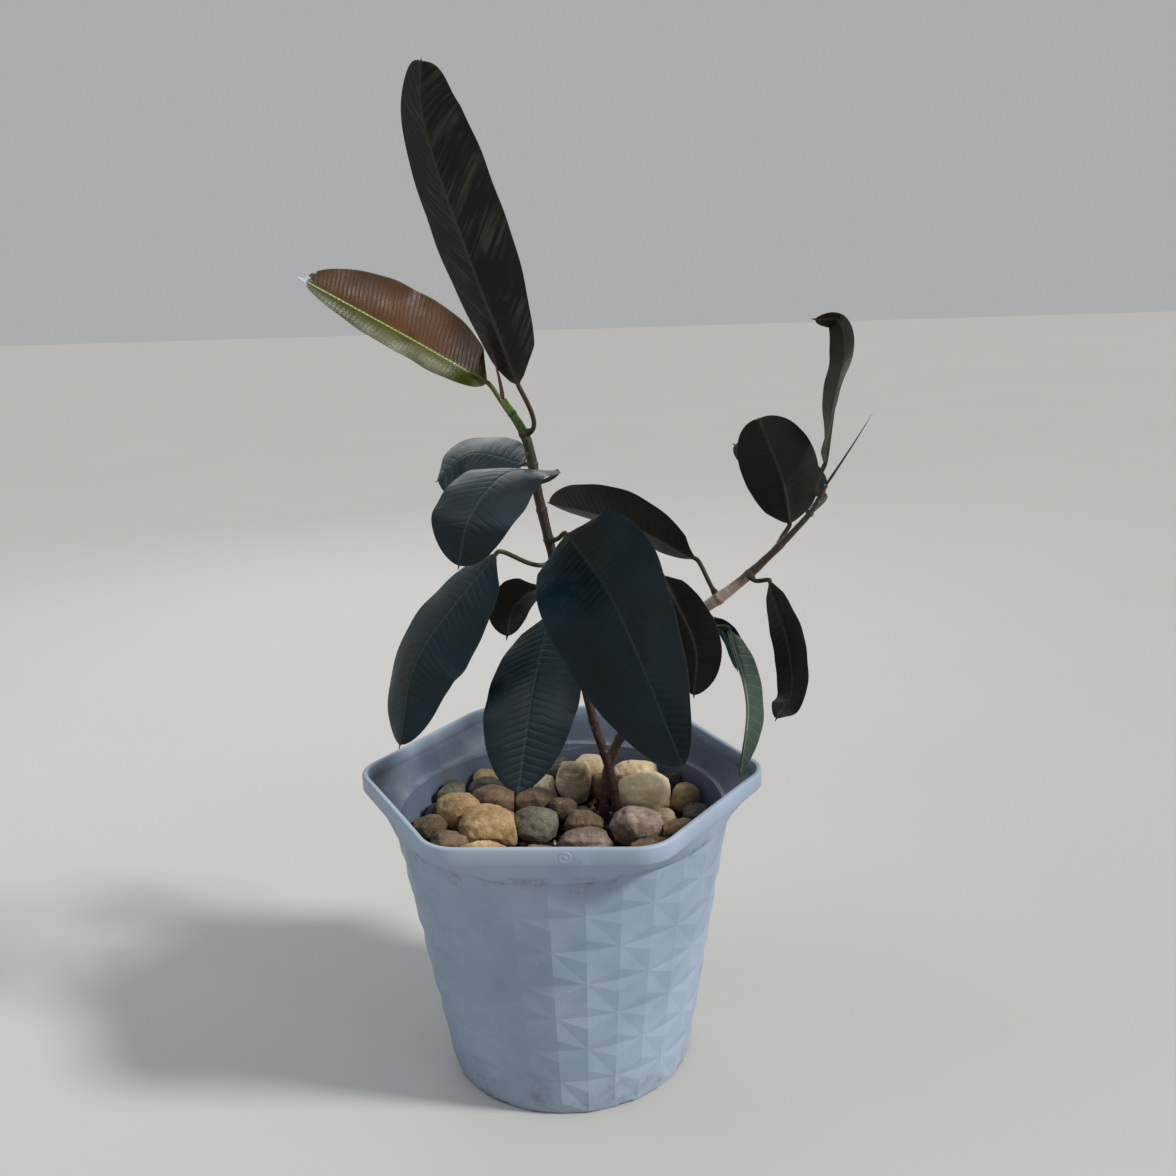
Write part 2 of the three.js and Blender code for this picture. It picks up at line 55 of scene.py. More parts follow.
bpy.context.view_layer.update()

# %% [markdown]
# ## Camera, floor and lights
# A tall, slim object is seen best from a little above its rim, so the camera stands about a
# metre in front, looks sixteen degrees down and is turned a touch. The floor is one pale plane.
# A hazy sun from the upper right is the key, so one side of the pot is paler than the other.
# Large soft lamps wrap the plant: a cool fill from the left, a sky light above it that lays a
# sheen on the leaves, a weak one behind, and a small low one that glints on the young leaf.

# %% Camera
CAMERA_PLACE = (0.097795, -0.971506, 0.650736)
CAMERA_HEADING, CAMERA_DOWN, CAMERA_ROLL = 4.234, 15.794, -2.098
CAMERA_LENS, SENSOR_WIDTH = 42.905, 36


def put(name, data):
    """A new object in the scene."""
    made = bpy.data.objects.new(name, data)
    bpy.context.scene.collection.objects.link(made)
    return made


camera_data = bpy.data.cameras.new("camera")
camera_data.lens = CAMERA_LENS
camera_data.sensor_width = SENSOR_WIDTH
camera = put("camera", camera_data)
camera.matrix_world = (
    Matrix.Translation(CAMERA_PLACE)
    @ Matrix.Rotation(math.radians(CAMERA_HEADING), 4, "Z")
    @ Matrix.Rotation(math.radians(90 - CAMERA_DOWN), 4, "X")
    @ Matrix.Rotation(math.radians(CAMERA_ROLL), 4, "Z")
)
bpy.context.scene.camera = camera
bpy.context.scene.view_settings.view_transform = "Standard"
print("camera at", CAMERA_PLACE)

# %% Lights
LAMPS = [  # name, place, aim, size in metres, watts, colour
    ("fill", (-1.3, -1.1, 0.8), (0, 0, 0.3), 1.4, 1, (0.82, 0.91, 1.0)),
    ("top", (-0.95, -0.15, 1.75), (0, 0, 0.35), 0.8, 6, (0.75, 0.88, 1.0)),
    ("back", (-0.5, 1.5, 1.1), (0, 0, 0.35), 1.0, 5, (0.95, 0.97, 1.0)),
    ("low", (0.8, -0.8, 0.66), (-0.1, 0.0, 0.58), 0.12, 0.7, (1.0, 0.98, 0.95)),
]
SUN_FROM, SUN_STRENGTH, SUN_SPREAD = (1.4, -0.35, 1.15), 3.1, 9.0
SUN_COLOUR = (1.0, 0.97, 0.92)


def hang(name, data, place, aim):
    lamp = put(name, data)
    lamp.location = place
    lamp.rotation_euler = (Vector(aim) - Vector(place)).to_track_quat("-Z", "Y").to_euler()


for name, place, aim, size, watts, colour in LAMPS:
    data = bpy.data.lights.new(name, "AREA")
    data.energy, data.size, data.color = watts, size, colour
    hang(name, data, place, aim)
sun = bpy.data.lights.new("sun", "SUN")
sun.energy, sun.angle, sun.color = SUN_STRENGTH, math.radians(SUN_SPREAD), SUN_COLOUR
hang("sun", sun, SUN_FROM, (0, 0, 0))
print(len(LAMPS), "lamps and a sun")

# %% [markdown]
# ## Joining nodes
# A material in Blender is a graph of nodes. These few helpers add a node, feed its inputs from
# numbers or from other nodes, and wrap the sums, noises and ramps that every finish here needs.


# %% Node helpers
def tone(code):
    """A colour written as six hex digits, as linear red, green, blue and alpha."""
    parts = [int(code[i : i + 2], 16) / 255 for i in (0, 2, 4)]
    return (*[p / 12.92 if p <= 0.04045 else ((p + 0.055) / 1.055) ** 2.4 for p in parts], 1.0)


class Wires:
    """Adds nodes to one tree and joins them."""

    def __init__(self, tree):
        self.tree = tree

    def join(self, socket, value):
        """Feeds a socket from another one, or with a number, a vector or a colour's hex digits."""
        if isinstance(value, bpy.types.NodeSocket):
            self.tree.links.new(value, socket)
        else:
            socket.default_value = tone(value) if isinstance(value, str) else value

    def add(self, kind, inputs=None, **settings):
        node = self.tree.nodes.new(kind)
        for name, value in settings.items():
            setattr(node, name, value)
        for key, value in (inputs or {}).items():
            self.join(node.inputs[key], value)
        return node

    def first(self, kind, inputs=None, **settings):
        """A new node's first output."""
        return self.add(kind, inputs, **settings).outputs[0]

    def group(self, tree, **inputs):
        return self.add("ShaderNodeGroup", inputs, node_tree=tree).outputs

    def math(self, operation, first, second=0.0, clamp=False):
        return self.first("ShaderNodeMath", {0: first, 1: second}, operation=operation, use_clamp=clamp)

    def times(self, first, second, clamp=False):
        return self.math("MULTIPLY", first, second, clamp)

    def plus(self, first, second):
        return self.math("ADD", first, second)

    def minus(self, first, second):
        return self.math("SUBTRACT", first, second)

    def noise(self, vector, scale, detail=3.0, roughness=0.55):
        inputs = {"Vector": vector, "Scale": scale, "Detail": detail, "Roughness": roughness}
        return self.add("ShaderNodeTexNoise", inputs).outputs["Fac"]

    def span(self, value, low, high, start=0.0, end=1.0):
        """value from low to high, brought smoothly to start and end."""
        inputs = {0: value, 1: low, 2: high, 3: start, 4: end}
        return self.first("ShaderNodeMapRange", inputs, interpolation_type="SMOOTHSTEP")

    def mix(self, share, first, second, blend="MIX"):
        inputs = {0: share, 6: first, 7: second}
        return self.add("ShaderNodeMix", inputs, data_type="RGBA", blend_type=blend).outputs[2]

    def ramp(self, value, stops):
        """A colour from value; stops are places and colours."""
        node = self.add("ShaderNodeValToRGB", {0: value})
        points = node.color_ramp.elements
        while len(points) < len(stops):
            points.new(0.5)
        for point, (place, colour) in zip(points, stops):
            point.position = place
            point.color = tone(colour) if isinstance(colour, str) else colour
        return node.outputs[0]

    def split(self, vector):
        return self.add("ShaderNodeSeparateXYZ", {0: vector}).outputs

    def combine(self, x, y, z=0.0):
        return self.first("ShaderNodeCombineXYZ", {0: x, 1: y, 2: z})

    def stretch(self, vector, scale, rotation=(0, 0, 0)):
        inputs = {"Vector": vector, "Scale": scale, "Rotation": rotation}
        return self.first("ShaderNodeMapping", inputs)

    def place(self):
        """Where a point is, in the object's own space."""
        return self.add("ShaderNodeTexCoord").outputs["Object"]

    def stored(self, name, field="Vector"):
        """What the mesh keeps for each vertex under a name."""
        return self.add("ShaderNodeAttribute", attribute_name=name).outputs[field]


SOCKETS = {float: "NodeSocketFloat", tuple: "NodeSocketVector"}


def shader_group(name, inputs, outputs, build):
    """A shader node group. build gets the group's Wires and inputs, and returns its outputs."""
    tree = bpy.data.node_groups.new(name, "ShaderNodeTree")
    for label, value in inputs.items():
        socket = tree.interface.new_socket(name=label, in_out="INPUT", socket_type=SOCKETS[type(value)])
        socket.default_value = value
    for label in outputs:
        tree.interface.new_socket(name=label, in_out="OUTPUT", socket_type="NodeSocketFloat")
    w = Wires(tree)
    made = build(w, w.add("NodeGroupInput").outputs)
    w.add("NodeGroupOutput", dict(zip(outputs, made)))
    return tree


def new_material(name):
    """An empty material, its Wires and its Principled shader."""
    material = bpy.data.materials.new(name)
    material.use_nodes = True
    material.node_tree.nodes.clear()
    w = Wires(material.node_tree)
    shader = w.add("ShaderNodeBsdfPrincipled")
    w.add("ShaderNodeOutputMaterial", {0: shader.outputs[0]})
    return material, w, shader


def feed(w, shader, colour, roughness=None, height=None, distance=0.0005):
    """Joins the changing parts of a finish to a Principled shader."""
    w.join(shader.inputs["Base Color"], colour)
    if roughness is not None:
        w.join(shader.inputs["Roughness"], roughness)
    if height is not None:
        bump = w.first("ShaderNodeBump", {"Height": height, "Distance": distance, "Strength": 1.0})
        w.join(shader.inputs["Normal"], bump)


# %% [markdown]
# ## Floor
# The floor is a plain pale sheet. It isn't part of the plant, so it is staged. Its colour
# wanders by a hair so that it isn't perfectly flat to the eye.

# %% Floor and backdrop
FLOOR_HALF, WORLD_STRENGTH = 6.0, 0.54
floor_mesh = bpy.data.meshes.new("floor")
corners = [(x * FLOOR_HALF, y * FLOOR_HALF, 0) for x, y in ((-1, -1), (1, -1), (1, 1), (-1, 1))]
floor_mesh.from_pydata(corners, [], [(0, 1, 2, 3)])
put("floor", floor_mesh)
floor_paint, w, shader = new_material("floor_paint")
place = w.place()
feed(w, shader, w.mix(w.noise(place, 3.0), "b4b3b0", "b8b7b5"))
shader.inputs["Roughness"].default_value = 0.8
floor_mesh.materials.append(floor_paint)

world = bpy.data.worlds.new("world")
world.use_nodes = True
world.node_tree.nodes["Background"].inputs[0].default_value = tone("e2e3e4")
world.node_tree.nodes["Background"].inputs[1].default_value = WORLD_STRENGTH
bpy.context.scene.world = world
print("floor", 2 * FLOOR_HALF, "m square")

# %% [markdown]
# ## Effects that several finishes share
# Natural and used surfaces are uneven in a few ways that come back everywhere: broad blotches,
# fine grain, dust that settles on what faces up, and thin scratches. Each is one shader node
# group with named inputs, so a material only chooses its scale and strength.


# %% Shared shader groups
def build_blotches(w, given):
    broad = w.noise(given["Place"], given["Scale"], 4.0, 0.6)
    return [w.span(broad, given["Low"], given["High"])]


def build_grain(w, given):
    fine = w.noise(given["Place"], given["Scale"], 2.0)
    coarse = w.noise(given["Place"], w.times(given["Scale"], 0.23), 3.0)
    pits = w.span(fine, 0.62, 0.8)
    height = w.plus(w.times(fine, 0.4), w.times(coarse, 0.8))
    return [height, pits]


def build_dust(w, given):
    facing = w.split(w.add("ShaderNodeNewGeometry").outputs["Normal"])[2]
    clumps = w.noise(given["Place"], given["Scale"], 5.0, 0.7)
    lying = w.times(w.span(facing, 0.1, 1.0), w.span(clumps, 0.4, 0.75))
    return [w.times(lying, given["Amount"], clamp=True)]


def build_scratches(w, given):
    stretched = w.stretch(given["Place"], (9, 1.2, 0.35), (0.3, 0.5, 0.9))
    crossed = w.stretch(given["Place"], (0.4, 8, 1), (0.9, -0.7, 0.2))
    lines = []
    for lay in (stretched, crossed):
        thread = w.noise(lay, given["Scale"], 1.0)
        lines.append(w.span(w.math("ABSOLUTE", w.minus(thread, 0.5)), 0.006, 0.0))
    some = w.span(w.noise(given["Place"], 14.0, 2.0), 0.52, 0.68)
    both = w.math("MAXIMUM", lines[0], lines[1])
    return [w.times(both, w.times(some, given["Amount"]), clamp=True)]


BLOTCHES = shader_group(
    "blotches", {"Place": (0, 0, 0), "Scale": 20.0, "Low": 0.35, "High": 0.65}, ["Share"], build_blotches
)
GRAIN = shader_group("grain", {"Place": (0, 0, 0), "Scale": 900.0}, ["Height", "Pits"], build_grain)
DUST = shader_group("dust", {"Place": (0, 0, 0), "Scale": 60.0, "Amount": 0.5}, ["Mask"], build_dust)
SCRATCHES = shader_group(
    "scratches", {"Place": (0, 0, 0), "Scale": 30.0, "Amount": 0.5}, ["Mask"], build_scratches
)
print("groups", [g.name for g in bpy.data.node_groups])


# %% [markdown]
# ## Making a mesh into a piece
# A finished piece sits at the origin, with its place in its mesh, and is tied to the frame: it
# rides on a body and stands for a CAD node, which is hidden.


# %% Piece helpers
def new_object(name, points, faces, material=None, smooth=True):
    mesh = bpy.data.meshes.new(name)
    mesh.from_pydata([tuple(p) for p in points], [], faces)
    if material is not None:
        mesh.materials.append(material)
    mesh.polygons.foreach_set("use_smooth", [smooth] * len(mesh.polygons))
    mesh.update()
    return put(name, mesh)


def settle(made):
    """Turns what the modifiers give into a plain mesh, and removes them."""
    bpy.context.view_layer.update()
    graph = bpy.context.evaluated_depsgraph_get()
    mesh = bpy.data.meshes.new_from_object(made.evaluated_get(graph))
    made.modifiers.clear()
    made.data = mesh


def geometry_tree(name, shape, kinds, build):
    """A Geometry Nodes tree that starts from a mesh called shape, and its inputs' identifiers."""
    tree = bpy.data.node_groups.new(name, "GeometryNodeTree")
    ids = {}
    for label, kind in {shape: "Geometry", **kinds, "Finish": "Material"}.items():
        socket = tree.interface.new_socket(name=label, in_out="INPUT", socket_type="NodeSocket" + kind)
        ids[label] = socket.identifier
    tree.interface.new_socket(name="Made", in_out="OUTPUT", socket_type="NodeSocketGeometry")
    w = Wires(tree)
    given = w.add("NodeGroupInput").outputs
    inputs = {"Geometry": build(w, given), "Material": given["Finish"]}
    w.add("NodeGroupOutput", {0: w.first("GeometryNodeSetMaterial", inputs)})
    return tree, ids


def grow(made, tree, ids, values):
    """Runs a tree on an object with named values, and keeps what it gives as a plain mesh."""
    modifier = made.modifiers.new(tree.name, "NODES")
    modifier.node_group = tree
    for label, value in values.items():
        modifier[ids[label]] = value
    settle(made)


def join_frame(made, slot, *nodes):
    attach(made, "root")
    if nodes:
        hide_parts(*nodes)


def store(mesh, name, facts):
    """Keeps three numbers for each vertex of a loft; its two end points copy their neighbours."""
    facts = facts.reshape(-1, 3)
    facts = np.vstack([facts[:1], facts, facts[-1:]])
    layer = mesh.attributes.new(name, "FLOAT_VECTOR", "POINT")
    layer.data.foreach_set("vector", np.asarray(facts, np.float32).ravel())


def loft_faces(rings, sides):
    """Faces over rings of equal length, from point 0 to the last point."""
    faces = []
    end = 1 + rings * sides
    for side in range(sides):
        after = (side + 1) % sides
        faces.append((0, 1 + after, 1 + side))
        last = 1 + (rings - 1) * sides
        faces.append((end, last + side, last + after))
        for ring in range(rings - 1):
            low, high = 1 + ring * sides, 1 + (ring + 1) * sides
            faces.append((low + side, low + after, high + after, high + side))
    return faces


def unit(v):
    return v / np.linalg.norm(v, axis=-1, keepdims=True)


# %% [markdown]
# ## Pot: the facetted wall
# The pot is injection-moulded polypropylene. Its wall carries a star pattern: rhombus cells, two
# facets high, whose ridges meet in stars. One quarter of a cell and its mirror image tile the
# whole wall, thirty round and seven high, so Geometry Nodes lay that tile on a flat grid and
# then wrap the sheet round the tapered body. A sculpted bump would not catch light as flat
# facets do, and modelling 210 cells by hand would drift off the rule.

# %% Pot sizes
BASE_RADIUS, LEDGE_RADIUS = 92 * MM, 125 * MM
LEDGE_HEIGHT, POT_HEIGHT, BAND_HEIGHT = 205 * MM, 235 * MM, 13 * MM
RIM_CORNER, RIM_ROUNDING = 155 * MM, 31 * MM
COLUMNS, ROWS = 30, 7
WALL_FOOT = 2 * MM
STAR_LIFT, PEAK_LIFT, VALLEY = 0.4 * MM, 0.7 * MM, -0.3
PEAK_SHARE = 0.34  # how far up its cell a facet's raised point is


def build_facet_wall(w, given):
    across, along = w.minus(given["Columns"], 1.0), w.minus(given["Rows"], 1.0)
    counts = {"Vertices X": given["Columns"], "Vertices Y": given["Rows"]}
    grid = w.first("GeometryNodeMeshGrid", {"Size X": across, "Size Y": along, **counts})
    half = w.combine(w.times(across, 0.5), w.times(along, 0.5))
    spots = w.first("GeometryNodeTransform", {"Geometry": grid, "Translation": half})
    spot = w.split(w.first("GeometryNodeInputPosition"))
    total = w.math("ROUND", w.plus(spot[0], spot[1]))
    odd = w.math("GREATER_THAN", w.math("MODULO", w.plus(total, 0.25), 2.0), 1.0)
    turn_over = {"Geometry": given["Tile"], "Scale": (-1, 1, 1), "Translation": (1, 0, 0)}
    mirrored = w.first("GeometryNodeFlipFaces", {0: w.first("GeometryNodeTransform", turn_over)})
    both = w.add("GeometryNodeJoinGeometry")
    for tile, chosen in ((given["Tile"], odd), (mirrored, w.minus(1.0, odd))):
        inputs = {"Points": spots, "Selection": chosen, "Instance": tile}
        w.join(both.inputs[0], w.first("GeometryNodeInstanceOnPoints", inputs))
    real = w.first("GeometryNodeRealizeInstances", {0: both.outputs[0]})

    # The sheet's x is the angle, its y the height, and its z the relief: 1 at a raised point, 0
    # at a star, and below 0 at the middle of the valley between two stars; -1 there would make
    # the valley straight, and the share kept leaves the outline rounder.
    sheet = w.split(w.first("GeometryNodeInputPosition"))
    step = w.math("DIVIDE", TURN, given["Columns"])
    angle = w.times(w.plus(sheet[0], 0.5), step)
    share = w.math("DIVIDE", sheet[1], given["Rows"])
    between = []
    for low, high in (("Foot Radius", "Top Radius"), ("Foot Height", "Top Height")):
        between.append(w.plus(given[low], w.times(w.minus(given[high], given[low]), share)))
    lifted = w.times(w.math("MAXIMUM", sheet[2], 0.0), given["Relief"])
    sag = w.minus(1.0, w.math("COSINE", step))
    sunk = w.plus(1.0, w.times(w.math("MINIMUM", sheet[2], 0.0), sag))
    radius = w.plus(w.times(between[0], sunk), lifted)
    x, y = (w.times(radius, w.math(side, angle)) for side in ("COSINE", "SINE"))
    bent = w.first("GeometryNodeSetPosition", {"Geometry": real, "Position": w.combine(x, y, between[1])})
    return w.first("GeometryNodeMergeByDistance", {"Geometry": bent, "Distance": 0.01 * MM})


pot_plastic, pot_wires, pot_shader = new_material("pot_plastic")
tile_points = [(0, 0, 0), (1, 0, VALLEY), (1, PEAK_SHARE, 1), (1, 1, 0), (0, 1, VALLEY)]
tile_points += [(0, 1 - PEAK_SHARE, 1)]
tile_faces = [(0, 1, 2), (0, 2, 3), (0, 3, 5), (3, 4, 5)]
wall = new_object("wall_tiles", tile_points, tile_faces, pot_plastic, smooth=False)
WALL_SIZES = {
    "Columns": COLUMNS, "Rows": ROWS, "Foot Radius": BASE_RADIUS + STAR_LIFT,
    "Top Radius": LEDGE_RADIUS + STAR_LIFT, "Foot Height": WALL_FOOT, "Top Height": LEDGE_HEIGHT,
    "Relief": PEAK_LIFT,
}
kinds = dict.fromkeys(WALL_SIZES, "Float") | {"Columns": "Int", "Rows": "Int"}
wall_tree, wall_ids = geometry_tree("facet_wall", "Tile", kinds, build_facet_wall)
grow(wall, wall_tree, wall_ids, {**WALL_SIZES, "Finish": pot_plastic})
print("wall", len(wall.data.vertices), "points", len(wall.data.polygons), "facets")


# %% [markdown]
# ## Pot: rim, inside and underside
# Above a small ledge the round body flares into a rounded hexagon, with an upright band and a
# rolled lip that stiffen the mouth. The inside follows at a constant wall. A chain of rings,
# each round or hexagonal, is zipped from the middle of the underside out to the wall's foot,
# and from the wall's top over the lip and down to the floor. Rings of unlike counts can be
# zipped by angle, so the thirty-sided wall meets the finer rim without a gap.


# %% Pot shell
def rim_radius(angle):
    """Distance from the axis to the rounded hexagon, by the angle from a corner."""
    sixth = TURN / 6
    off = abs(angle - round(angle / sixth) * sixth)
    flat = RIM_CORNER * math.cos(sixth / 2)
    centre = (flat - RIM_ROUNDING) / math.cos(sixth / 2)
    tangent = math.atan2(RIM_ROUNDING / 2, centre + RIM_ROUNDING * math.cos(sixth / 2))
    if off > tangent:
        return flat / math.cos(sixth / 2 - off)
    return centre * math.cos(off) + math.sqrt(RIM_ROUNDING**2 - (centre * math.sin(off)) ** 2)


FINE, COARSE = 1.5, 3.0  # degrees between points near a corner and elsewhere
steps = [i * FINE for i in range(6)] + [9 + i * COARSE for i in range(15)]
steps += [52.5 + i * FINE for i in range(5)]
pot_angles = [math.radians(60 * corner + step) for corner in range(6) for step in steps]


def zip_rings(bm, low, high):
    """Fills the band between two rings of points with faces, whatever their counts."""

    def turn(v):
        return math.atan2(v.co.y, v.co.x) % TURN

    low, high = sorted(low, key=turn), sorted(high, key=turn)
    i = j = 0
    while i < len(low) or j < len(high):
        a, b = low[i % len(low)], high[j % len(high)]
        next_a, next_b = low[(i + 1) % len(low)], high[(j + 1) % len(high)]
        turn_a = turn(next_a) + (TURN if i + 1 >= len(low) else 0)
        turn_b = turn(next_b) + (TURN if j + 1 >= len(high) else 0)
        if j >= len(high) or (i < len(low) and turn_a <= turn_b + 1e-6):
            bm.faces.new((a, next_a, b)).smooth = True
            i += 1
        else:
            bm.faces.new((a, next_b, b)).smooth = True
            j += 1


def ring(bm, height, radius, hexagonal=None, inside=0.0):
    """A ring at a height in mm: round, hexagonal with an inset, or part of the way between."""
    points = []
    for angle in pot_angles:
        r = radius * MM
        if hexagonal:
            inset_hexagon = rim_radius(angle) - hexagonal[1] * MM
            r = r + (inset_hexagon - r) * hexagonal[0]
        points.append(bm.verts.new((r * math.cos(angle), r * math.sin(angle), height * MM)))
        points[-1][bm.verts.layers.float["inside"]] = inside
    return points


def fan(bm, middle, points, upwards):
    for i, point in enumerate(points):
        after = points[(i + 1) % len(points)]
        order = (middle, point, after) if upwards else (middle, after, point)
        bm.faces.new(order).smooth = True


FLOOR_TOP, LEDGE = 6, 205
INNER_FOOT, INNER_TOP = 88.6, 121.6


def inner_radius(height):
    return INNER_FOOT + (INNER_TOP - INNER_FOOT) * (height - FLOOR_TOP) / (LEDGE - FLOOR_TOP)


bm = bmesh.new()
bm.from_mesh(wall.data)
bm.verts.layers.float.new("inside")
bm.verts.ensure_lookup_table()
foot_ring = [v for v in bm.verts if v.co.z < WALL_FOOT + 1e-6]
top_ring = [v for v in bm.verts if v.co.z > LEDGE_HEIGHT - 1e-6]

UNDERSIDE = [(0, 29.5), (0.4, 30.3), (3, 33), (3, 77), (0.4, 79.7), (0, 80.5), (0, 89.5), (0.5, 90.8)]
chain = [ring(bm, height, radius) for height, radius in UNDERSIDE] + [foot_ring]
fan(bm, bm.verts.new((0, 0, 0)), chain[0], False)
for low, high in zip(chain, chain[1:]):
    zip_rings(bm, low, high)

FLARE_FOOT, FLARE_TOP, FLARE_RADIUS, FLARE_INSET = 206.3, 221, 128, 2.4
LEDGE_RINGS = [(205, 127), (205.5, 127.7), (FLARE_FOOT, FLARE_RADIUS)]
chain = [top_ring] + [ring(bm, height, radius) for height, radius in LEDGE_RINGS]
for share in (0.2, 0.4, 0.6, 0.8, 1.0):
    height = FLARE_FOOT + (FLARE_TOP - FLARE_FOOT) * share
    chain.append(ring(bm, height, FLARE_RADIUS, (share, FLARE_INSET)))
BAND = [(221.6, 2.1), (221.9, 1.2), (222.3, 0.4), (223.0, 0), (233.2, 0), (234.1, 0.25)]
BAND += [(234.7, 0.8), (235, 1.6), (235, 3.1), (234.7, 3.9), (234.1, 4.4), (233.2, 4.7)]
chain += [ring(bm, height, 0, (1.0, inset)) for height, inset in BAND]
NECK_FOOT, NECK_TOP, NECK_RADIUS, NECK_INSET = 206.6, 223.5, 124.8, 6.2
chain += [ring(bm, 225, 0, (1.0, 5.2), 1.0), ring(bm, NECK_TOP, 0, (1.0, NECK_INSET), 1.0)]
for share in (0.8, 0.6, 0.4, 0.2):
    height = NECK_FOOT + (NECK_TOP - NECK_FOOT) * share
    chain.append(ring(bm, height, NECK_RADIUS, (share, NECK_INSET), 1.0))
INNER = [(NECK_FOOT, NECK_RADIUS), (205.6, 123.6)]
INNER += [(height, inner_radius(height)) for height in (LEDGE, 203, 170, 90, 12)]
INNER += [(7.2, inner_radius(8)), (FLOOR_TOP, 85), (FLOOR_TOP, 40)]
chain += [ring(bm, height, radius, inside=1.0) for height, radius in INNER]
for low, high in zip(chain, chain[1:]):
    zip_rings(bm, low, high)
middle = bm.verts.new((0, 0, FLOOR_TOP * MM))
middle[bm.verts.layers.float["inside"]] = 1.0
fan(bm, middle, chain[-1], True)
shell = bpy.data.meshes.new("pot_shell")
bm.to_mesh(shell)
open_edges = sum(len(e.link_faces) != 2 for e in bm.edges)
bm.free()
shell.materials.append(pot_plastic)
pot = put("pot_shell", shell)
bpy.data.objects.remove(wall)
print("pot", len(shell.polygons), "faces, open edges", open_edges)

# %% [markdown]
# ## Pot: holes, mark and chip
# Six drain holes go through the floor and six notches through the foot ring let the water out.
# On a real pot the mould's pins make them; here a Boolean cuts them. A knock has taken a flake
# from the band's lower edge, cut the same way, and the injection point left a small raised
# button on the front of the band.

# %% Drain holes, notches and chip
DRAINS, DRAIN_CIRCLE, DRAIN_RADIUS, DRILL_SIDES = 6, 55 * MM, 5 * MM, 24
NOTCH_DEPTH, NOTCH_HALF = 6 * MM, (12 * MM, 6 * MM, 2.5 * MM)
FLAKE_PLACE, FLAKE_RADIUS = (27.5, -136.3, 221.5), 3.2


def boxy(centre, half, turn):
    """The corners and faces of a box turned about the vertical axis through the origin."""
    signs = [(x, y, z) for x in (-1, 1) for y in (-1, 1) for z in (-1, 1)]
    spin = Matrix.Rotation(turn, 3, "Z")
    points = [spin @ Vector([c + s * h for c, s, h in zip(centre, sign, half)]) for sign in signs]
    faces = [(0, 1, 3, 2), (4, 6, 7, 5), (0, 4, 5, 1), (2, 3, 7, 6), (0, 2, 6, 4), (1, 5, 7, 3)]
    return points, faces


def drill(centre, radius, low, high):
    points = [Vector((*centre, low))]
    for height in (low, high):
        for i in range(DRILL_SIDES):
            angle = i * TURN / DRILL_SIDES
            x, y = centre[0] + radius * math.cos(angle), centre[1] + radius * math.sin(angle)
            points.append(Vector((x, y, height)))
    points.append(Vector((*centre, high)))
    return points, loft_faces(2, DRILL_SIDES)


cutters = []
for i in range(DRAINS):
    turn = i * TURN / DRAINS
    hole = (DRAIN_CIRCLE * math.cos(turn), DRAIN_CIRCLE * math.sin(turn))
    cutters.append(drill(hole, DRAIN_RADIUS, -0.01, 0.02))
    cutters.append(boxy((BASE_RADIUS - NOTCH_DEPTH, 0, 0), NOTCH_HALF, turn))
points, faces = [], []
for some_points, some_faces in cutters:
    faces += [tuple(len(points) + i for i in face) for face in some_faces]
    points += some_points
cutter = new_object("cutter", points, faces, pot_plastic, smooth=False)
bm = bmesh.new()
bm.from_mesh(cutter.data)
flake = bmesh.ops.create_icosphere(bm, subdivisions=2, radius=FLAKE_RADIUS * MM)["verts"]
for v in flake:
    v.co *= 1 + 0.25 * noise.noise(v.co * 700)
    v.co += Vector(FLAKE_PLACE) * MM
bm.to_mesh(cutter.data)
bm.free()
cut = pot.modifiers.new("holes", "BOOLEAN")
cut.object, cut.operation, cut.solver = cutter, "DIFFERENCE", "EXACT"
settle(pot)
bpy.data.objects.remove(cutter)

BUTTON = (14.0, -134.2, 228.5)  # in mm, on the front of the band
BUTTON_PROFILE = [(4.4, -0.3), (4.2, 0.2), (3.7, 0.4), (3.2, 0.25), (1.4, 0.2), (1.0, 0.45)]
bm = bmesh.new()
bm.from_mesh(pot.data)
sides = 28
angles = [i * TURN / sides for i in range(sides)]
rounds = []
for radius, height in BUTTON_PROFILE:
    spots = [(radius * math.cos(a), -height, radius * math.sin(a)) for a in angles]
    rounds.append([bm.verts.new(Vector([b + o for b, o in zip(BUTTON, spot)]) * MM) for spot in spots])
for low, high in zip(rounds, rounds[1:]):
    for i in range(sides):
        after = (i + 1) % sides
        bm.faces.new((low[i], low[after], high[after], high[i])).smooth = True
back = bm.verts.new(Vector((BUTTON[0], BUTTON[1] + 0.3, BUTTON[2])) * MM)
front = bm.verts.new(Vector((BUTTON[0], BUTTON[1] - 0.45, BUTTON[2])) * MM)
fan(bm, back, rounds[0], False)
fan(bm, front, rounds[-1], True)
bm.to_mesh(pot.data)
bm.free()
pot.data.set_sharp_from_angle(angle=math.radians(38))
WALL_SKIN = 2.4 * MM  # deeper than any facet's valley, and less than the wall's thickness
for polygon in pot.data.polygons:
    spot = polygon.center
    wall_radius = BASE_RADIUS + (LEDGE_RADIUS - BASE_RADIUS) * spot.z / LEDGE_HEIGHT
    if WALL_FOOT < spot.z < LEDGE_HEIGHT and math.hypot(spot.x, spot.y) > wall_radius - WALL_SKIN:
        polygon.use_smooth = False
join_frame(pot, "pot_plastic", "pot")
print("pot", len(pot.data.polygons), "faces")
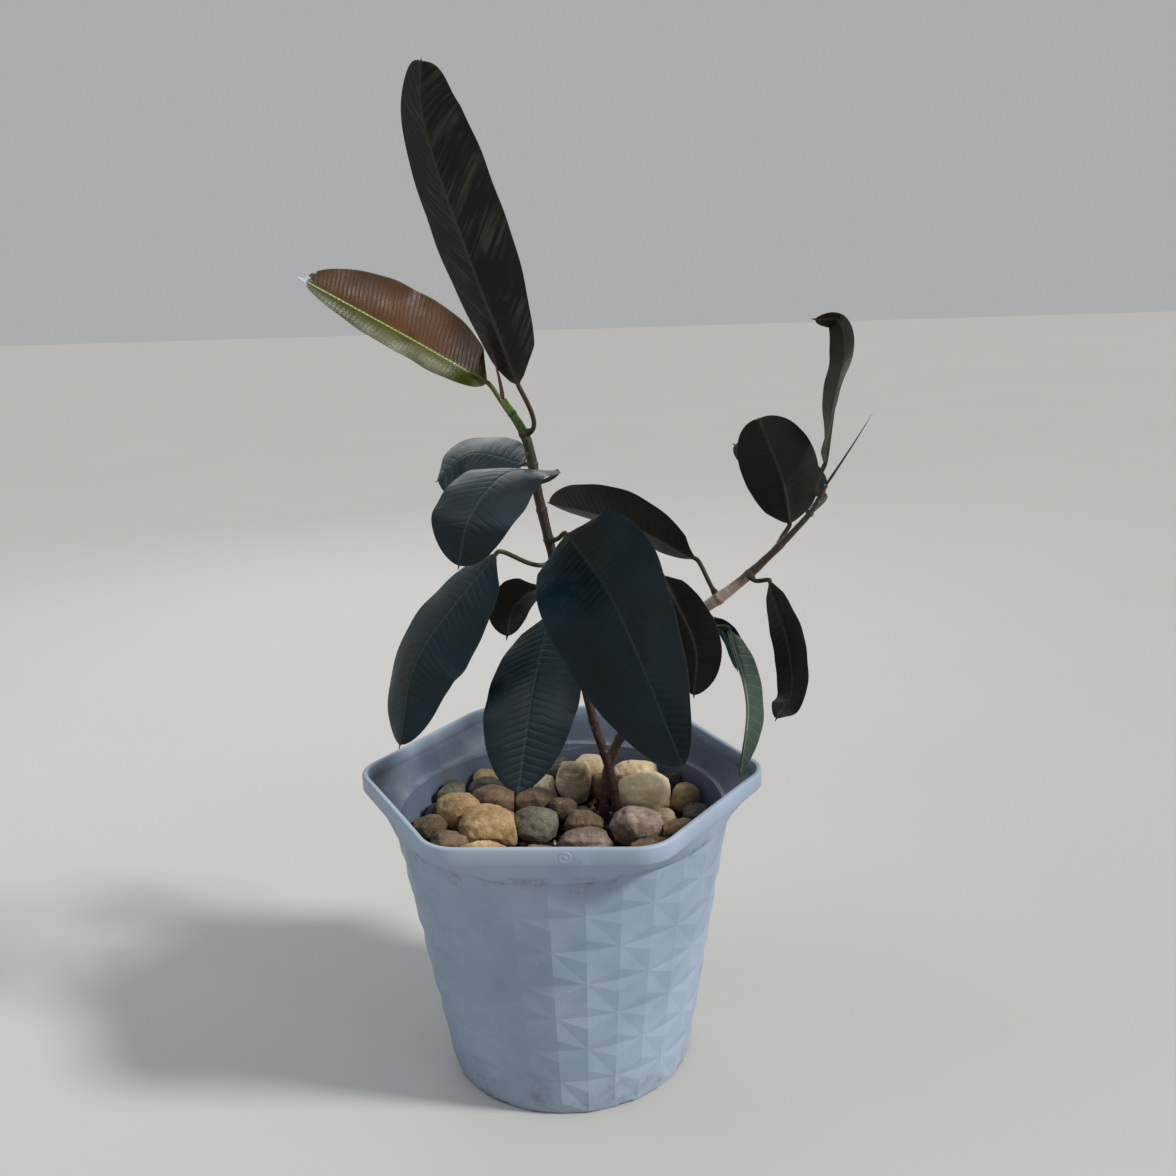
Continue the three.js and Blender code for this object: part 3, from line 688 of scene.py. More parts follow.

# %% [markdown]
# ## Pot: plastic
# The plastic is a blue-grey that has weathered a little: broad chalky patches, hair scratches
# and earth splashed up round the foot. Inside, above the stones, it is darkened towards a deep
# blue-grey, which is painted shade. Colour, roughness and a fine moulded grain all come from
# noise in the object's own space.

# %% Pot finish
w = pot_wires
place = w.place()
height = w.split(place)[2]
inside = w.stored("inside", "Fac")
patches = w.group(BLOTCHES, Place=place, Scale=9.0, Low=0.3, High=0.7)["Share"]
specks = w.group(BLOTCHES, Place=place, Scale=260.0, Low=0.66, High=0.76)["Share"]
colour = w.mix(patches, "8093a8", "96a7ba")
# Painted shade: the whole inside is darkened towards a deep blue-grey.
colour = w.mix(w.times(inside, 0.8), colour, "414d61")
splash = w.noise(place, 45.0, 6.0, 0.75)
low_down = w.span(height, 0.05, 0.0)
dirt = w.times(w.span(splash, 0.45, 0.75), low_down)
under_rim = w.times(w.span(height, 0.185, 0.205), w.span(height, 0.213, 0.206))
grime = w.times(w.span(splash, 0.5, 0.72), w.times(under_rim, 0.8))
earth = w.math("MAXIMUM", w.times(dirt, 0.75), grime)
earth = w.math("MAXIMUM", earth, w.times(specks, 0.18))
colour = w.mix(earth, colour, "5b5650")
scuffs = w.group(SCRATCHES, Place=place, Scale=22.0, Amount=0.55)["Mask"]
colour = w.mix(w.times(scuffs, 0.5), colour, "c9d3e0")
dust = w.group(DUST, Place=place, Scale=80.0, Amount=0.35)["Mask"]
colour = w.mix(dust, colour, "a59f93")
roughness = w.plus(w.span(patches, 0, 1, 0.42, 0.52), w.times(earth, 0.3))
grain = w.group(GRAIN, Place=place, Scale=2600.0)["Height"]
surface = w.minus(w.times(grain, 0.25), w.times(scuffs, 0.5))
feed(w, pot_shader, colour, roughness, surface, 0.00012)
pot_shader.inputs["Specular IOR Level"].default_value = 0.45

# %% [markdown]
# ## Stems
# A rubber plant's young wood is ringed: every leaf leaves a scar right round the stem where its
# sheath dropped, and breathing pores, the lenticels, show as pale raised dots. Each stem is a
# loft along a smooth curve through the same points as the CAD stem, with ridges at its nodes,
# fine lengthwise wrinkles and pores that are real bumps.

# %% Stem paths
STEMS = {
    "left": {
        "points": [
            (40, 28, 130), (40, 28, 185), (34, 30, 225), (24, 30, 262), (11, 30, 330),
            (-1, 28, 390), (-10, 25, 440), (-16, 22, 480), (-31, 20, 510),
        ],
        "radii": [3.6, 3.5, 3.4, 3.4, 3.4, 3.5, 3.6, 3.5, 2.4],
        "nodes": [205, 235, 262, 290, 320, 350, 375, 388, 405, 428, 450, 462, 485, 500],
        "tip": (-38, 20, 545),
    },
    "right": {
        "points": [
            (28, 40, 130), (29, 40, 185), (34, 44, 220), (48, 49, 250), (62, 52, 283),
            (80, 53, 315), (107, 50, 341), (132, 45, 361), (157, 40, 385), (186, 30, 419),
            (198, 25, 442),
        ],
        "radii": [3.8, 3.6, 3.5, 3.6, 3.9, 4.3, 4.2, 3.1, 2, 1.5],
        "nodes": [205, 240, 270, 296, 322, 330, 338, 352, 372, 395, 420, 435],
        "tip": (229, 15, 495),
    },
}


def follow(points, share):
    """Places and directions on a smooth curve through points, at shares from 0 to 1."""
    points = np.array(points, float)
    ends = np.vstack([2 * points[0] - points[1], points, 2 * points[-1] - points[-2]])
    spot = np.clip(share, 0, 1) * (len(points) - 1)
    i = np.minimum(spot.astype(int), len(points) - 2)
    u = (spot - i)[:, None]
    p0, p1, p2, p3 = ends[i], ends[i + 1], ends[i + 2], ends[i + 3]
    v0, v1 = (p2 - p0) / 2, (p3 - p1) / 2
    place = p1 + v0 * u + (-3 * p1 + 3 * p2 - 2 * v0 - v1) * u**2 + (2 * p1 - 2 * p2 + v0 + v1) * u**3
    way = v0 + 2 * (-3 * p1 + 3 * p2 - 2 * v0 - v1) * u + 3 * (2 * p1 - 2 * p2 + v0 + v1) * u**2
    return place, unit(way)


def stem_at(stem, height):
    """The middle, direction and radius of a stem where it passes a height, in mm."""
    shares = np.linspace(0, 1, 2001)
    places, ways = follow(stem["points"], shares)
    i = int(np.argmin(np.abs(places[:, 2] - height)))
    radius = np.interp(shares[i], np.linspace(0, 1, len(stem["radii"])), stem["radii"])
    return places[i], ways[i], radius


def rough(points, scale, seed=0.0):
    """Noise from -1 to 1 at each point in mm."""
    shift = Vector((seed, 1.7 * seed, -0.6 * seed))
    return np.array([noise.noise(Vector(p) * scale + shift) for p in points])


STEM_SIDES, STEM_RINGS = 24, 260
SWELL, SCAR_RIDGE, SCAR_GROOVE = 0.08, 0.13, 0.05  # shares of the radius, at a node
WRINKLE, LUMP, PORE = 0.14, 0.22, 0.35  # mm


def make_stem(name, stem, material, pores, slot):
    shares = np.linspace(0, 1, STEM_RINGS)
    middle, ahead = follow(stem["points"], shares)
    across = unit(np.cross([0, 1, 0], ahead))
    up = np.cross(ahead, across)
    radius = np.interp(shares, np.linspace(0, 1, len(stem["radii"])), stem["radii"])
    off = middle[:, 2, None] - np.array(stem["nodes"])[None]

    def hump(offset, width):
        return np.exp(-(((off - offset) / width) ** 2)).max(1)

    ridge, groove, swollen = hump(0, 1.1), hump(2.6, 0.7), hump(0, 5.0)
    angle = np.arange(STEM_SIDES) * TURN / STEM_SIDES
    ray = across[:, None] * np.cos(angle)[None, :, None] + up[:, None] * np.sin(angle)[None, :, None]
    thick = radius[:, None] * (1 + SWELL * swollen + SCAR_RIDGE * ridge - SCAR_GROOVE * groove)[:, None]
    thick = np.repeat(thick, STEM_SIDES, 1)
    skin = middle[:, None] + ray * thick[..., None]
    flat = skin.reshape(-1, 3)
    wrinkle = rough(flat * [1, 1, 0.25], 1.1, 3).reshape(thick.shape)
    lump = rough(flat, 0.16, 9).reshape(thick.shape)
    dots = np.clip(rough(flat * [1, 1, 1.5], 0.8, 31).reshape(thick.shape) - pores, 0, 1) * 2.2
    skin = skin + ray * (WRINKLE * wrinkle + LUMP * lump + PORE * np.clip(dots, 0, 1))[..., None]
    points = np.vstack([middle[:1], skin.reshape(-1, 3), middle[-1:] + ahead[-1:]]) * MM
    made = new_object(name, points, loft_faces(STEM_RINGS, STEM_SIDES), material)
    marks = np.stack([np.broadcast_to(ridge[:, None], thick.shape), dots, thick], -1)
    store(made.data, "bark", marks)
    join_frame(made, slot, name)
    print(name, len(made.data.polygons), "faces")


# %% [markdown]
# ## Bark
# The left cutting is dark red-brown and turns olive, then green, where the wood is this year's.
# The right one is paler and pinkish, and its pale cream band part way up is painted sunlight. Height
# up the stem drives a colour ramp, and the scars and pores stored with the mesh darken or lighten it.


# %% Bark finish
def bark_material(name, stops, low, high, scar, pore):
    material, w, shader = new_material(name)
    place = w.place()
    marks = w.split(w.stored("bark"))
    along = w.first("ShaderNodeMapRange", {0: w.split(place)[2], 1: low, 2: high})
    wander = w.times(w.minus(w.noise(place, 70.0, 4.0), 0.5), 0.12)
    colour = w.ramp(w.plus(along, wander), stops)
    streaks = w.stretch(place, (1, 1, 0.12))
    fibre = w.group(BLOTCHES, Place=streaks, Scale=900.0, Low=0.35, High=0.7)["Share"]
    colour = w.mix(w.times(fibre, 0.45), colour, scar)
    colour = w.mix(w.times(marks[0], 0.7), colour, scar)
    colour = w.mix(w.times(w.span(marks[1], 0.05, 0.5), 0.75), colour, pore)
    grain = w.group(GRAIN, Place=streaks, Scale=1500.0)
    roughness = w.span(fibre, 0, 1, 0.5, 0.75)
    feed(w, shader, colour, roughness, grain["Height"], 0.0004)
    return material


left_stops = [
    (0.0, "38241e"), (0.3, "3f2820"), (0.55, "30211b"), (0.76, "2a2015"),
    (0.91, "2f2e15"), (0.965, "4a661e"), (1.0, "6f9430"),
]
# The pale cream stops from 0.6 to 0.69 are painted sunlight on the right stem.
right_stops = [
    (0.0, "4a2f28"), (0.3, "5c3f36"), (0.52, "6d4f42"), (0.6, "c7a592"),
    (0.69, "dabfae"), (0.74, "4a3d2c"), (1.0, "322d20"),
]
bark_left = bark_material("bark_left", left_stops, 0.17, 0.51, "1d1411", "7d5f4e")
bark_right = bark_material("bark_right", right_stops, 0.17, 0.442, "4a3029", "d3b29d")
make_stem("stem_left", STEMS["left"], bark_left, 0.38, "bark_left")
make_stem("stem_right", STEMS["right"], bark_right, 0.42, "bark_right")

# %% [markdown]
# ## Buds
# The next leaf waits rolled inside a pointed sheath. It is a slim spindle, so each bud is a loft
# that tapers to a needle, with one seam winding round it where the sheath's edges overlap.

# %% Buds
BUD_SIDES, BUD_RINGS = 16, 48


def make_bud(name, stem, material):
    ends, ways = follow(stem["points"], np.array([1.0]))
    end, tip = ends[0] + 1.0 * ways[0], np.array(stem["tip"], float)
    ahead = unit(tip - end)
    share = np.linspace(0, 1, BUD_RINGS)
    bow = 1.6 * np.sin(math.pi * share)[:, None] * np.array([[0.5, 0.2, 0.3]])
    middle = end + (tip - end) * share[:, None] + bow
    across = unit(np.cross([0.0, 1.0, 0.0], ahead))
    up = np.cross(ahead, across)
    profile = np.interp(share, [0, 0.08, 0.2, 0.5, 0.8, 1], [0.95, 1.08, 0.95, 0.62, 0.32, 0.06])
    angle = np.arange(BUD_SIDES) * TURN / BUD_SIDES
    seam = np.exp(-(((angle[None] - 5 * share[:, None]) % TURN - math.pi) ** 2) / 0.05)
    thick = 0.62 * stem["radii"][-1] * profile[:, None] * (1 + 0.1 * seam)
    ray = across * np.cos(angle)[None, :, None] + up * np.sin(angle)[None, :, None]
    skin = middle[:, None] + ray * thick[..., None]
    points = np.vstack([middle[:1], skin.reshape(-1, 3), tip[None]]) * MM
    made = new_object(name, points, loft_faces(BUD_RINGS, BUD_SIDES), material)
    join_frame(made, "bud", name)


def bud_material(name, foot, tip, low, high):
    material, w, shader = new_material(name)
    place = w.place()
    along = w.span(w.split(place)[2], low, high)
    streaks = w.stretch(place, (1, 1, 0.1))
    fibre = w.group(BLOTCHES, Place=streaks, Scale=1300.0, Low=0.4, High=0.65)["Share"]
    colour = w.mix(along, foot, tip)
    colour = w.mix(w.times(fibre, 0.35), colour, "2b1712")
    grain = w.group(GRAIN, Place=streaks, Scale=1800.0)["Height"]
    feed(w, shader, colour, w.span(fibre, 0, 1, 0.35, 0.5), grain, 0.0002)
    return material


make_bud("bud_left", STEMS["left"], bud_material("bud_left", "5a2a22", "7a3b2c", 0.5, 0.54))
make_bud("bud_right", STEMS["right"], bud_material("bud_right", "33201a", "4a2e26", 0.44, 0.49))
print("buds made")

# %% [markdown]
# ## Leaves
# Each leaf is a thick leathery blade on a round stalk. A row below says which stem and height it
# grows from, its width, which way its upper side looks (heading and rise), how it twists, folds
# along the midrib and cups, how its outline bulges, and the points its midrib runs through. The
# blade is lofted across that line: the midrib is a groove above and a strong ridge below, the
# edge waves slightly, and the end narrows to the drip tip typical of the species.

# %% Leaf shapes
LEAVES = {
    "crown_leaf": ("left", 485, 69, (60, -5), -8, 20, 0.04, 1.1, 0.38,
                   [(-19, 15, 520), (-46, 25, 595), (-68, 25, 665), (-76, 18, 708), (-73, 10, 738)]),
    "young_leaf": ("left", 500, 62, (-90, 45), 5, 24, 0.12, 0.88, 0.58,
                   [(-43, 30, 521), (-90, 10, 554), (-156, -25, 600)]),
    "upper_back_leaf": ("left", 462, 66, (-95, 62), -10, -6, -0.15, 1.5, 0.36,
                        [(-20, 36, 460), (-62, 62, 464), (-90, 64, 444)]),
    "upper_front_leaf": ("left", 450, 80, (-130, 42), 20, 4, -0.1, 1.2, 0.58,
                         [(6, 6, 460), (-26, -30, 466), (-48, -58, 441), (-56, -66, 411)]),
    "low_left_leaf": ("left", 388, 78, (-135, 25), 5, -8, -0.12, 1.05, 0.62,
                      [(-39, -2, 403), (-98, -15, 330), (-111, -42, 272)]),
    "small_back_leaf": ("left", 375, 40, (105, 40), 0, 10, 0.1, 0.8, 0.5,
                        [(-14, 48, 364), (-28, 60, 354), (-40, 66, 338), (-44, 68, 318)]),
    "low_front_leaf": ("left", 350, 77, (-115, 25), 0, 6, -0.1, 1, 0.57,
                       [(-5, 18, 350), (-13, -42, 310), (-20, -92, 257)]),
    "big_front_leaf": ("left", 405, 104, (-152, 42), -14, 17, -0.02, 0.84, 0.58,
                       [(10, 13, 413), (49, -50, 374), (93, -105, 281)]),
    "arching_leaf": ("right", 352, 52, (90, 30), 0, 14, 0.1, 1.07, 0.63,
                     [(104, 60, 380), (48, 88, 404), (-13, 135, 409)]),
    "hanging_leaf": ("right", 322, 42, (70, 15), -5, 8, 0.05, 1, 0.55,
                     [(79, 36, 374), (102, 28, 322), (101, 22, 284)]),
    "folded_leaf": ("right", 330, 20, (-60, 20), 0, 40, 0.1, 1, 0.55,
                    [(116, 75, 328), (128, 78, 309), (135, 75, 286)]),
    "narrow_leaf": ("right", 338, 38, (-17, 20), 20, 16, 0.08, 1, 0.6,
                    [(128, 36, 331), (141, 22, 278), (134, -2, 231)]),
    "drooping_leaf": ("right", 372, 42, (45, 25), 5, 0, 0, 0.97, 0.58,
                      [(158, 25, 371), (170, 10, 330), (172, -6, 297), (160, -20, 281)]),
    "oval_leaf": ("right", 395, 57, (90, 18), 0, 12, 0.1, 1, 0.5,
                  [(174, 50, 408), (168, 42, 443), (150, 26, 491)]),
    "twisted_leaf": ("right", 435, 34, (195, -30), -75, 10, 0.05, 0.72, 0.5,
                     [(197, 26, 457), (203, 22, 505), (210, 24, 535), (206, 24, 558), (189, 22, 560)]),
    "hidden_leaf": ("right", 420, 42, (-95, 55), 0, 8, 0, 1, 0.55,
                    [(200, 56, 428), (169, 86, 443), (136, 106, 458)]),
}
STALK_RADIUS, BLADE_THICKNESS, GAP = 1.7, 0.95, 0.3
STALK_RINGS, BLADE_RINGS = 16, 110
DRIP, WAVE = 2.5, 0.02  # mm of drip tip, and how far the edge waves for its half width
TIP_WIDEST, TIP_END, TIP_SLOPE = 4.0, 0.2, 0.2
RIB_TAPER, RIB_GROOVE, EDGE_THINNING, EDGE_GAP = 0.85, 0.3, 0.55, 4.0
FOOT_REACH, BASE_REACH = 0.35, 0.15  # of the stalk's length, how far it keeps straight at its ends
NEAR_RIB = np.array([0.5, 1.1, 1.9, 3.2])  # mm from the midrib
NEAR_SHARES = np.array([0.06, 0.12, 0.2, 0.3])
FAR_SHARES = np.array([0.4, 0.52, 0.64, 0.76, 0.87, 0.95, 1.0])


def carried_back(face, ways):
    """A direction square to each way, carried from the last way back to the first."""
    found = [None] * len(ways)
    held = unit(face - ways[-1] * (face @ ways[-1]))
    for i in range(len(ways) - 1, -1, -1):
        held = unit(held - ways[i] * (held @ ways[i]))
        found[i] = held
    return np.array(found)


def leaf_line(stem_name, height, face, twist, rib, drip):
    """Rings' middles, directions and upper sides along stalk and blade, with t along the blade."""
    dense = np.linspace(0, 1, 401)
    places, _ = follow(rib, dense)
    arc = np.r_[0, np.cumsum(np.linalg.norm(np.diff(places, axis=0), axis=1))]
    t = (1 - np.cos(math.pi * np.linspace(0, 1, BLADE_RINGS))) / 2
    blade, ways = follow(rib, np.interp(t * arc[-1], arc, dense))
    centre, way, radius = stem_at(STEMS[stem_name], height)
    out = blade[0] - centre
    distance = np.linalg.norm(out)
    out = unit(out - way * (out @ way))
    foot = centre + out * (1.12 * radius + 3 * GAP)
    b0, b3 = foot, blade[0]
    b1, b2 = foot + out * FOOT_REACH * distance, blade[0] - ways[0] * BASE_REACH * distance
    u = np.linspace(0, 1, STALK_RINGS, endpoint=False)[:, None]
    stalk = b0 * (1 - u) ** 3 + 3 * b1 * u * (1 - u) ** 2 + 3 * b2 * u**2 * (1 - u) + b3 * u**3
    lean = unit((b1 - b0) * (1 - u) ** 2 + 2 * (b2 - b1) * u * (1 - u) + (b3 - b2) * u**2)
    root = centre + out * 0.45 * radius
    stalk, lean = np.vstack([root[None], stalk]), np.vstack([out[None], lean])
    beyond = np.array([0.2, 0.45, 0.7, 0.9, 1.0])[:, None]
    tail = blade[-1] + ways[-1] * beyond * drip
    length = arc[-1]
    along = np.r_[-np.ones(len(stalk)), t * length, length + drip * beyond[:, 0]]
    heading, rise = math.radians(face[0]), math.radians(face[1])
    level = math.cos(rise)
    look = np.array([math.cos(heading) * level, math.sin(heading) * level, math.sin(rise)])
    blade_ways = np.vstack([ways, np.repeat(ways[-1:], len(beyond), 0)])
    blade_up = unit(look - blade_ways * (blade_ways @ look)[:, None])
    stalk_up = carried_back(blade_up[0], lean)
    middle = np.vstack([stalk, blade, tail])
    ahead = np.vstack([lean, blade_ways])
    up = np.vstack([stalk_up, blade_up])
    t = np.r_[np.zeros(len(stalk)), t, np.ones(len(beyond))]
    turn = -math.radians(twist) * (t - 0.5)[:, None]
    up = up * np.cos(turn) + np.cross(ahead, up) * np.sin(turn)
    return middle, ahead, up, t, along, length


def make_leaf(name, row, material, slot, drip, seed):
    stem_name, height, width, face, twist, fold, cup, belly, blunt, rib = row
    middle, ahead, up, t, along, length = leaf_line(stem_name, height, face, twist, rib, drip)
    side = np.cross(ahead, up)
    on_stalk = along < 0
    bulge = t**belly
    blade = width / 2 * np.maximum(0, 4 * bulge * (1 - bulge)) ** blunt
    left_to_go = np.maximum(0, length + drip - along)
    blade = np.where(on_stalk, 0, np.maximum(blade, np.minimum(TIP_WIDEST, TIP_END + TIP_SLOPE * left_to_go)))
    blade = np.where((t < 0.02) & ~on_stalk, blade * np.minimum(1, t / 0.02), blade)
    stalk = STALK_RADIUS * (1 - RIB_TAPER * t)
    stalk[:3] = STALK_RADIUS * np.array([1.7, 1.55, 1.2])
    half = np.maximum(stalk, blade)
    half = np.where(along > length, blade, half)
    flat = np.minimum(1, 5 * np.arccos(1 - 2 * t) / math.pi)
    flat = np.where(on_stalk, 0, flat)

    near = np.minimum(NEAR_RIB[None], NEAR_SHARES[None] * half[:, None])
    distances = np.hstack([near, FAR_SHARES[None] * half[:, None]])
    row_across = np.hstack([-distances[:, ::-1], np.zeros((len(t), 1)), distances])
    across = np.hstack([row_across[:, ::-1], row_across])
    count = row_across.shape[1]
    upper = np.r_[np.zeros(count), np.ones(count)]
    turns = [np.linspace(start + EDGE_GAP, start + 180 - EDGE_GAP, count) for start in (90, 270)]
    psi = np.radians(np.concatenate(turns))

    share = across / half[:, None]
    bend = (np.radians(fold) * flat)[:, None]
    soft = np.sqrt(share**2 + 0.003) - 0.055
    lift = soft * half[:, None] * np.sin(bend) + cup * flat[:, None] * share**2 * half[:, None]
    rng = np.random.default_rng(seed)
    phase = rng.uniform(0, TURN, 4)
    sides = np.where(share > 0, phase[0], phase[1])
    ripple = np.sin(TURN * 2.6 * t[:, None] + sides) + 0.6 * np.sin(TURN * 5.3 * t[:, None] + 2 * sides)
    lift = lift + WAVE * ripple * np.abs(share) ** 2.5 * half[:, None] * np.sin(math.pi * t)[:, None] ** 0.5
    thin = 1 - EDGE_THINNING * np.abs(share) ** 3
    skin = np.where(upper > 0, 1, -1) * BLADE_THICKNESS / 2 * thin
    rib_size = STALK_RADIUS * (1 - RIB_TAPER * t)[:, None]
    ridge = np.exp(-((across / (0.9 * rib_size + 0.1)) ** 2))
    skin = skin - np.where(upper > 0, RIB_GROOVE, 1.0) * rib_size * ridge
    skin = np.where((along > length)[:, None], skin * 0.6, skin)
    laid = side[:, None] * (across * np.cos(bend))[..., None] + up[:, None] * (lift + skin)[..., None]
    tube = up[:, None] * np.cos(psi)[None, :, None] + side[:, None] * np.sin(psi)[None, :, None]
    round_part = tube * stalk[:, None, None]
    wide = flat[:, None, None]
    skinned = middle[:, None] + round_part * (1 - wide) + laid * wide
    points = np.vstack([middle[:1], skinned.reshape(-1, 3), middle[-1:] + 0.3 * ahead[-1:]]) * MM
    rings, ring_size = across.shape
    made = new_object(name, points, loft_faces(rings, ring_size), material)
    made.data.set_sharp_from_angle(angle=math.radians(60))

    def spread(values):
        return np.broadcast_to(values, across.shape)

    store(made.data, "blade", np.stack([spread(along[:, None]), across, spread(upper)], -1) * [MM, MM, 1])
    store(made.data, "place", np.stack([spread(t[:, None]), np.abs(share), spread(flat[:, None])], -1))
    join_frame(made, slot, name)
    low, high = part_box(name)
    return length, tuple(round(1000 * (h - l)) for l, h in zip(low, high))


# %% [markdown]
# ## Leaf veins
# The midrib is pale. From it run many fine side veins, nearly straight and a few millimetres
# apart, which slant towards the tip, with a finer set between. They show as faint lines and as
# shallow pillows that break up the gloss. The group below gets the distance along and across
# the blade, stored with each mesh, so the pattern follows every bend of the leaf.


# %% Vein group
def build_veins(w, given):
    along, across = given["Along"], w.math("ABSOLUTE", given["Across"])
    wobble = w.times(w.noise(given["Place"], 60.0, 2.0), 0.004)
    slanted = w.minus(along, w.times(across, given["Slant"]))
    slanted = w.plus(slanted, wobble)
    waves = []
    for finer in (1.0, 3.0):
        turns = w.math("DIVIDE", w.times(slanted, finer), given["Spacing"])
        waves.append(w.math("ABSOLUTE", w.minus(w.math("FRACT", turns), 0.5)))
    main = w.span(waves[0], 0.42, 0.5)
    fine = w.times(w.span(waves[1], 0.4, 0.5), 0.3)
    fade = w.plus(0.35, w.span(across, 0.03, 0.0, 0.0, 0.65))
    veins = w.times(w.math("MAXIMUM", main, fine), fade)
    rib = w.span(across, given["Rib"], w.times(given["Rib"], 0.35))
    hollow = w.math("POWER", w.times(waves[0], 2.0), 3.0)
    height = w.minus(1.0, w.times(hollow, fade))
    return [rib, veins, height]


VEINS = shader_group(
    "leaf_veins",
    {"Place": (0, 0, 0), "Along": 0.0, "Across": 0.0, "Spacing": 0.0075, "Slant": 0.35, "Rib": 0.0014},
    ["Rib", "Veins", "Height"],
    build_veins,
)


# %% [markdown]
# ## Leaf finish
# Mature leaves are a green so deep that it is nearly black, with a waxy satin shine; their
# undersides are duller, in brown olive. The young leaf is still copper on one half and olive on
# the other, and glossier. Dust dulls what faces up, and every tip dries to a brown point.


# %% Leaf material
def leaf_material(name, top, top_deep, under, under_deep, rib_colour, gloss, **extra):
    material, w, shader = new_material(name)
    place = w.place()
    blade = w.split(w.stored("blade"))
    spot = w.split(w.stored("place"))
    upper = w.span(blade[2], 0.35, 0.65)
    veins = w.group(
        VEINS, Place=place, Along=blade[0], Across=blade[1],
        Spacing=extra.get("spacing", 0.0075), Slant=extra.get("slant", 0.35), Rib=0.0015,
    )
    patches = w.group(BLOTCHES, Place=place, Scale=22.0, Low=0.35, High=0.68)["Share"]
    above = w.mix(patches, top, top_deep)
    if "other_half" in extra:
        half = w.span(blade[1], -0.004, 0.004)
        above = w.mix(half, above, w.mix(patches, *extra["other_half"]))
    below = w.mix(patches, under, under_deep)
    streaks = w.times(veins["Veins"], extra.get("streak", 0.25))
    if "patchy" in extra:
        broad = w.group(BLOTCHES, Place=place, Scale=30.0, Low=0.4, High=0.6)["Share"]
        slanted = w.minus(blade[0], w.times(w.math("ABSOLUTE", blade[1]), 1.1))
        along_veins = w.combine(w.times(slanted, 9.0), blade[1])
        brushed = w.noise(along_veins, 28.0, 3.0, 0.6)
        brushed = w.times(w.span(brushed, 0.42, 0.66), broad)
        streaks = w.times(brushed, extra.get("streak", 0.25))
    below = w.mix(streaks, below, extra.get("streak_colour", "5a5446"))
    above = w.mix(w.times(veins["Veins"], extra.get("top_veins", 0.12)), above, rib_colour)
    colour = w.mix(upper, below, above)
    rib_line = w.times(veins["Rib"], extra.get("rib", 0.6))
    colour = w.mix(rib_line, colour, w.mix(upper, "37332a", rib_colour))
    edge = w.times(w.span(spot[1], 0.955, 1.0), extra.get("edge", 0.3))
    colour = w.mix(edge, colour, rib_colour)
    stalk = w.span(spot[2], 0.9, 0.2)
    colour = w.mix(stalk, colour, extra.get("stalk", "33351f"))
    dry = w.plus(spot[0], w.times(w.noise(place, 120.0, 3.0), 0.03))
    colour = w.mix(w.span(dry, 1.0, 1.022), colour, "3a2a1c")
    if "residue" in extra:
        crust = w.plus(spot[0], w.times(w.noise(place, 140.0, 5.0, 0.7), 0.16))
        colour = w.mix(w.span(crust, 1.055, 1.07), colour, extra["residue"])
    dust = w.group(DUST, Place=place, Scale=70.0, Amount=extra.get("dust", 0.12))["Mask"]
    colour = w.mix(dust, colour, "8a8f8c")
    film = w.noise(place, 35.0, 5.0, 0.65)
    rough_top = w.span(film, 0.3, 0.7, gloss, gloss + 0.14)
    roughness = w.first("ShaderNodeMix", {0: upper, 2: gloss + 0.22, 3: rough_top})
    roughness = w.plus(roughness, w.times(dust, 0.4))
    grain = w.group(GRAIN, Place=place, Scale=1400.0)["Height"]
    surface = w.plus(w.times(grain, 0.1), veins["Height"])
    if "brushed" in extra:
        lanes = w.combine(w.times(blade[0], 7.0), blade[1])
        streaked = w.times(w.noise(lanes, 30.0, 1.0, 0.4), extra["brushed"])
        surface = w.plus(w.times(surface, 0.25), streaked)
    feed(w, shader, colour, roughness, surface, extra.get("pillow", 0.00035))
    shader.inputs["Specular IOR Level"].default_value = extra.get("shine", 0.24)
    return material


leaf_green = leaf_material(
    "leaf_green", "041f26", "021319", "24211b", "181612", "20352f", 0.33, stalk="35331f",
    edge=0.35, rib=0.9, top_veins=0.2, streak=0.3, streak_colour="37332a", pillow=0.0002,
    spacing=0.006, dust=0.03,
)
leaf_pale = leaf_material(
    "leaf_pale", "36473c", "25332c", "4a4a3a", "38382e", "93a48c", 0.34, stalk="35331f",
    edge=0.7, rib=0.5, top_veins=0.15, pillow=0.00013, dust=0.3,
)
leaf_olive = leaf_material(
    "leaf_olive", "25220f", "1a190d", "332c18", "231f13", "4d4626", 0.36, stalk="35331f",
    edge=0.35, rib=0.6, top_veins=0.1, pillow=0.00013,
)
leaf_bronze = leaf_material(
    "leaf_bronze", "0d1a18", "091312", "0e120e", "050908", "1d1c15", 0.4,
    streak=0.7, streak_colour="423c30", slant=1.1, spacing=0.008, stalk="3a2e1c", pillow=0.0002,
    patchy=1.0, dust=0.02,
)
leaf_young = leaf_material(
    "leaf_young", "3c450a", "2c3208", "3c3812", "2c2a0c", "64762a", 0.2,
    other_half=("552e04", "382204"), residue="a9b6c2", stalk="4c5220", rib=0.85, dust=0.0,
    slant=0.3, pillow=0.0003, spacing=0.0032, shine=0.4, brushed=0.25,
)
LEAF_FINISHES = {
    "crown_leaf": (leaf_bronze, "leaf_bronze"), "young_leaf": (leaf_young, "leaf_young"),
    "narrow_leaf": (leaf_pale, "leaf_green"), "twisted_leaf": (leaf_olive, "leaf_green"),
}
DRIPS = {"young_leaf": 5.0, "low_left_leaf": 3.0, "crown_leaf": 1.5, "oval_leaf": 0.6}
DRIPS |= {"small_back_leaf": 4.0}
for seed, (name, row) in enumerate(LEAVES.items()):
    material, slot = LEAF_FINISHES.get(name, (leaf_green, "leaf_green"))
    length, box_size = make_leaf(name, row, material, slot, DRIPS.get(name, DRIP), seed)
    print(name, "blade", round(length), "mm, CAD box", box_size)

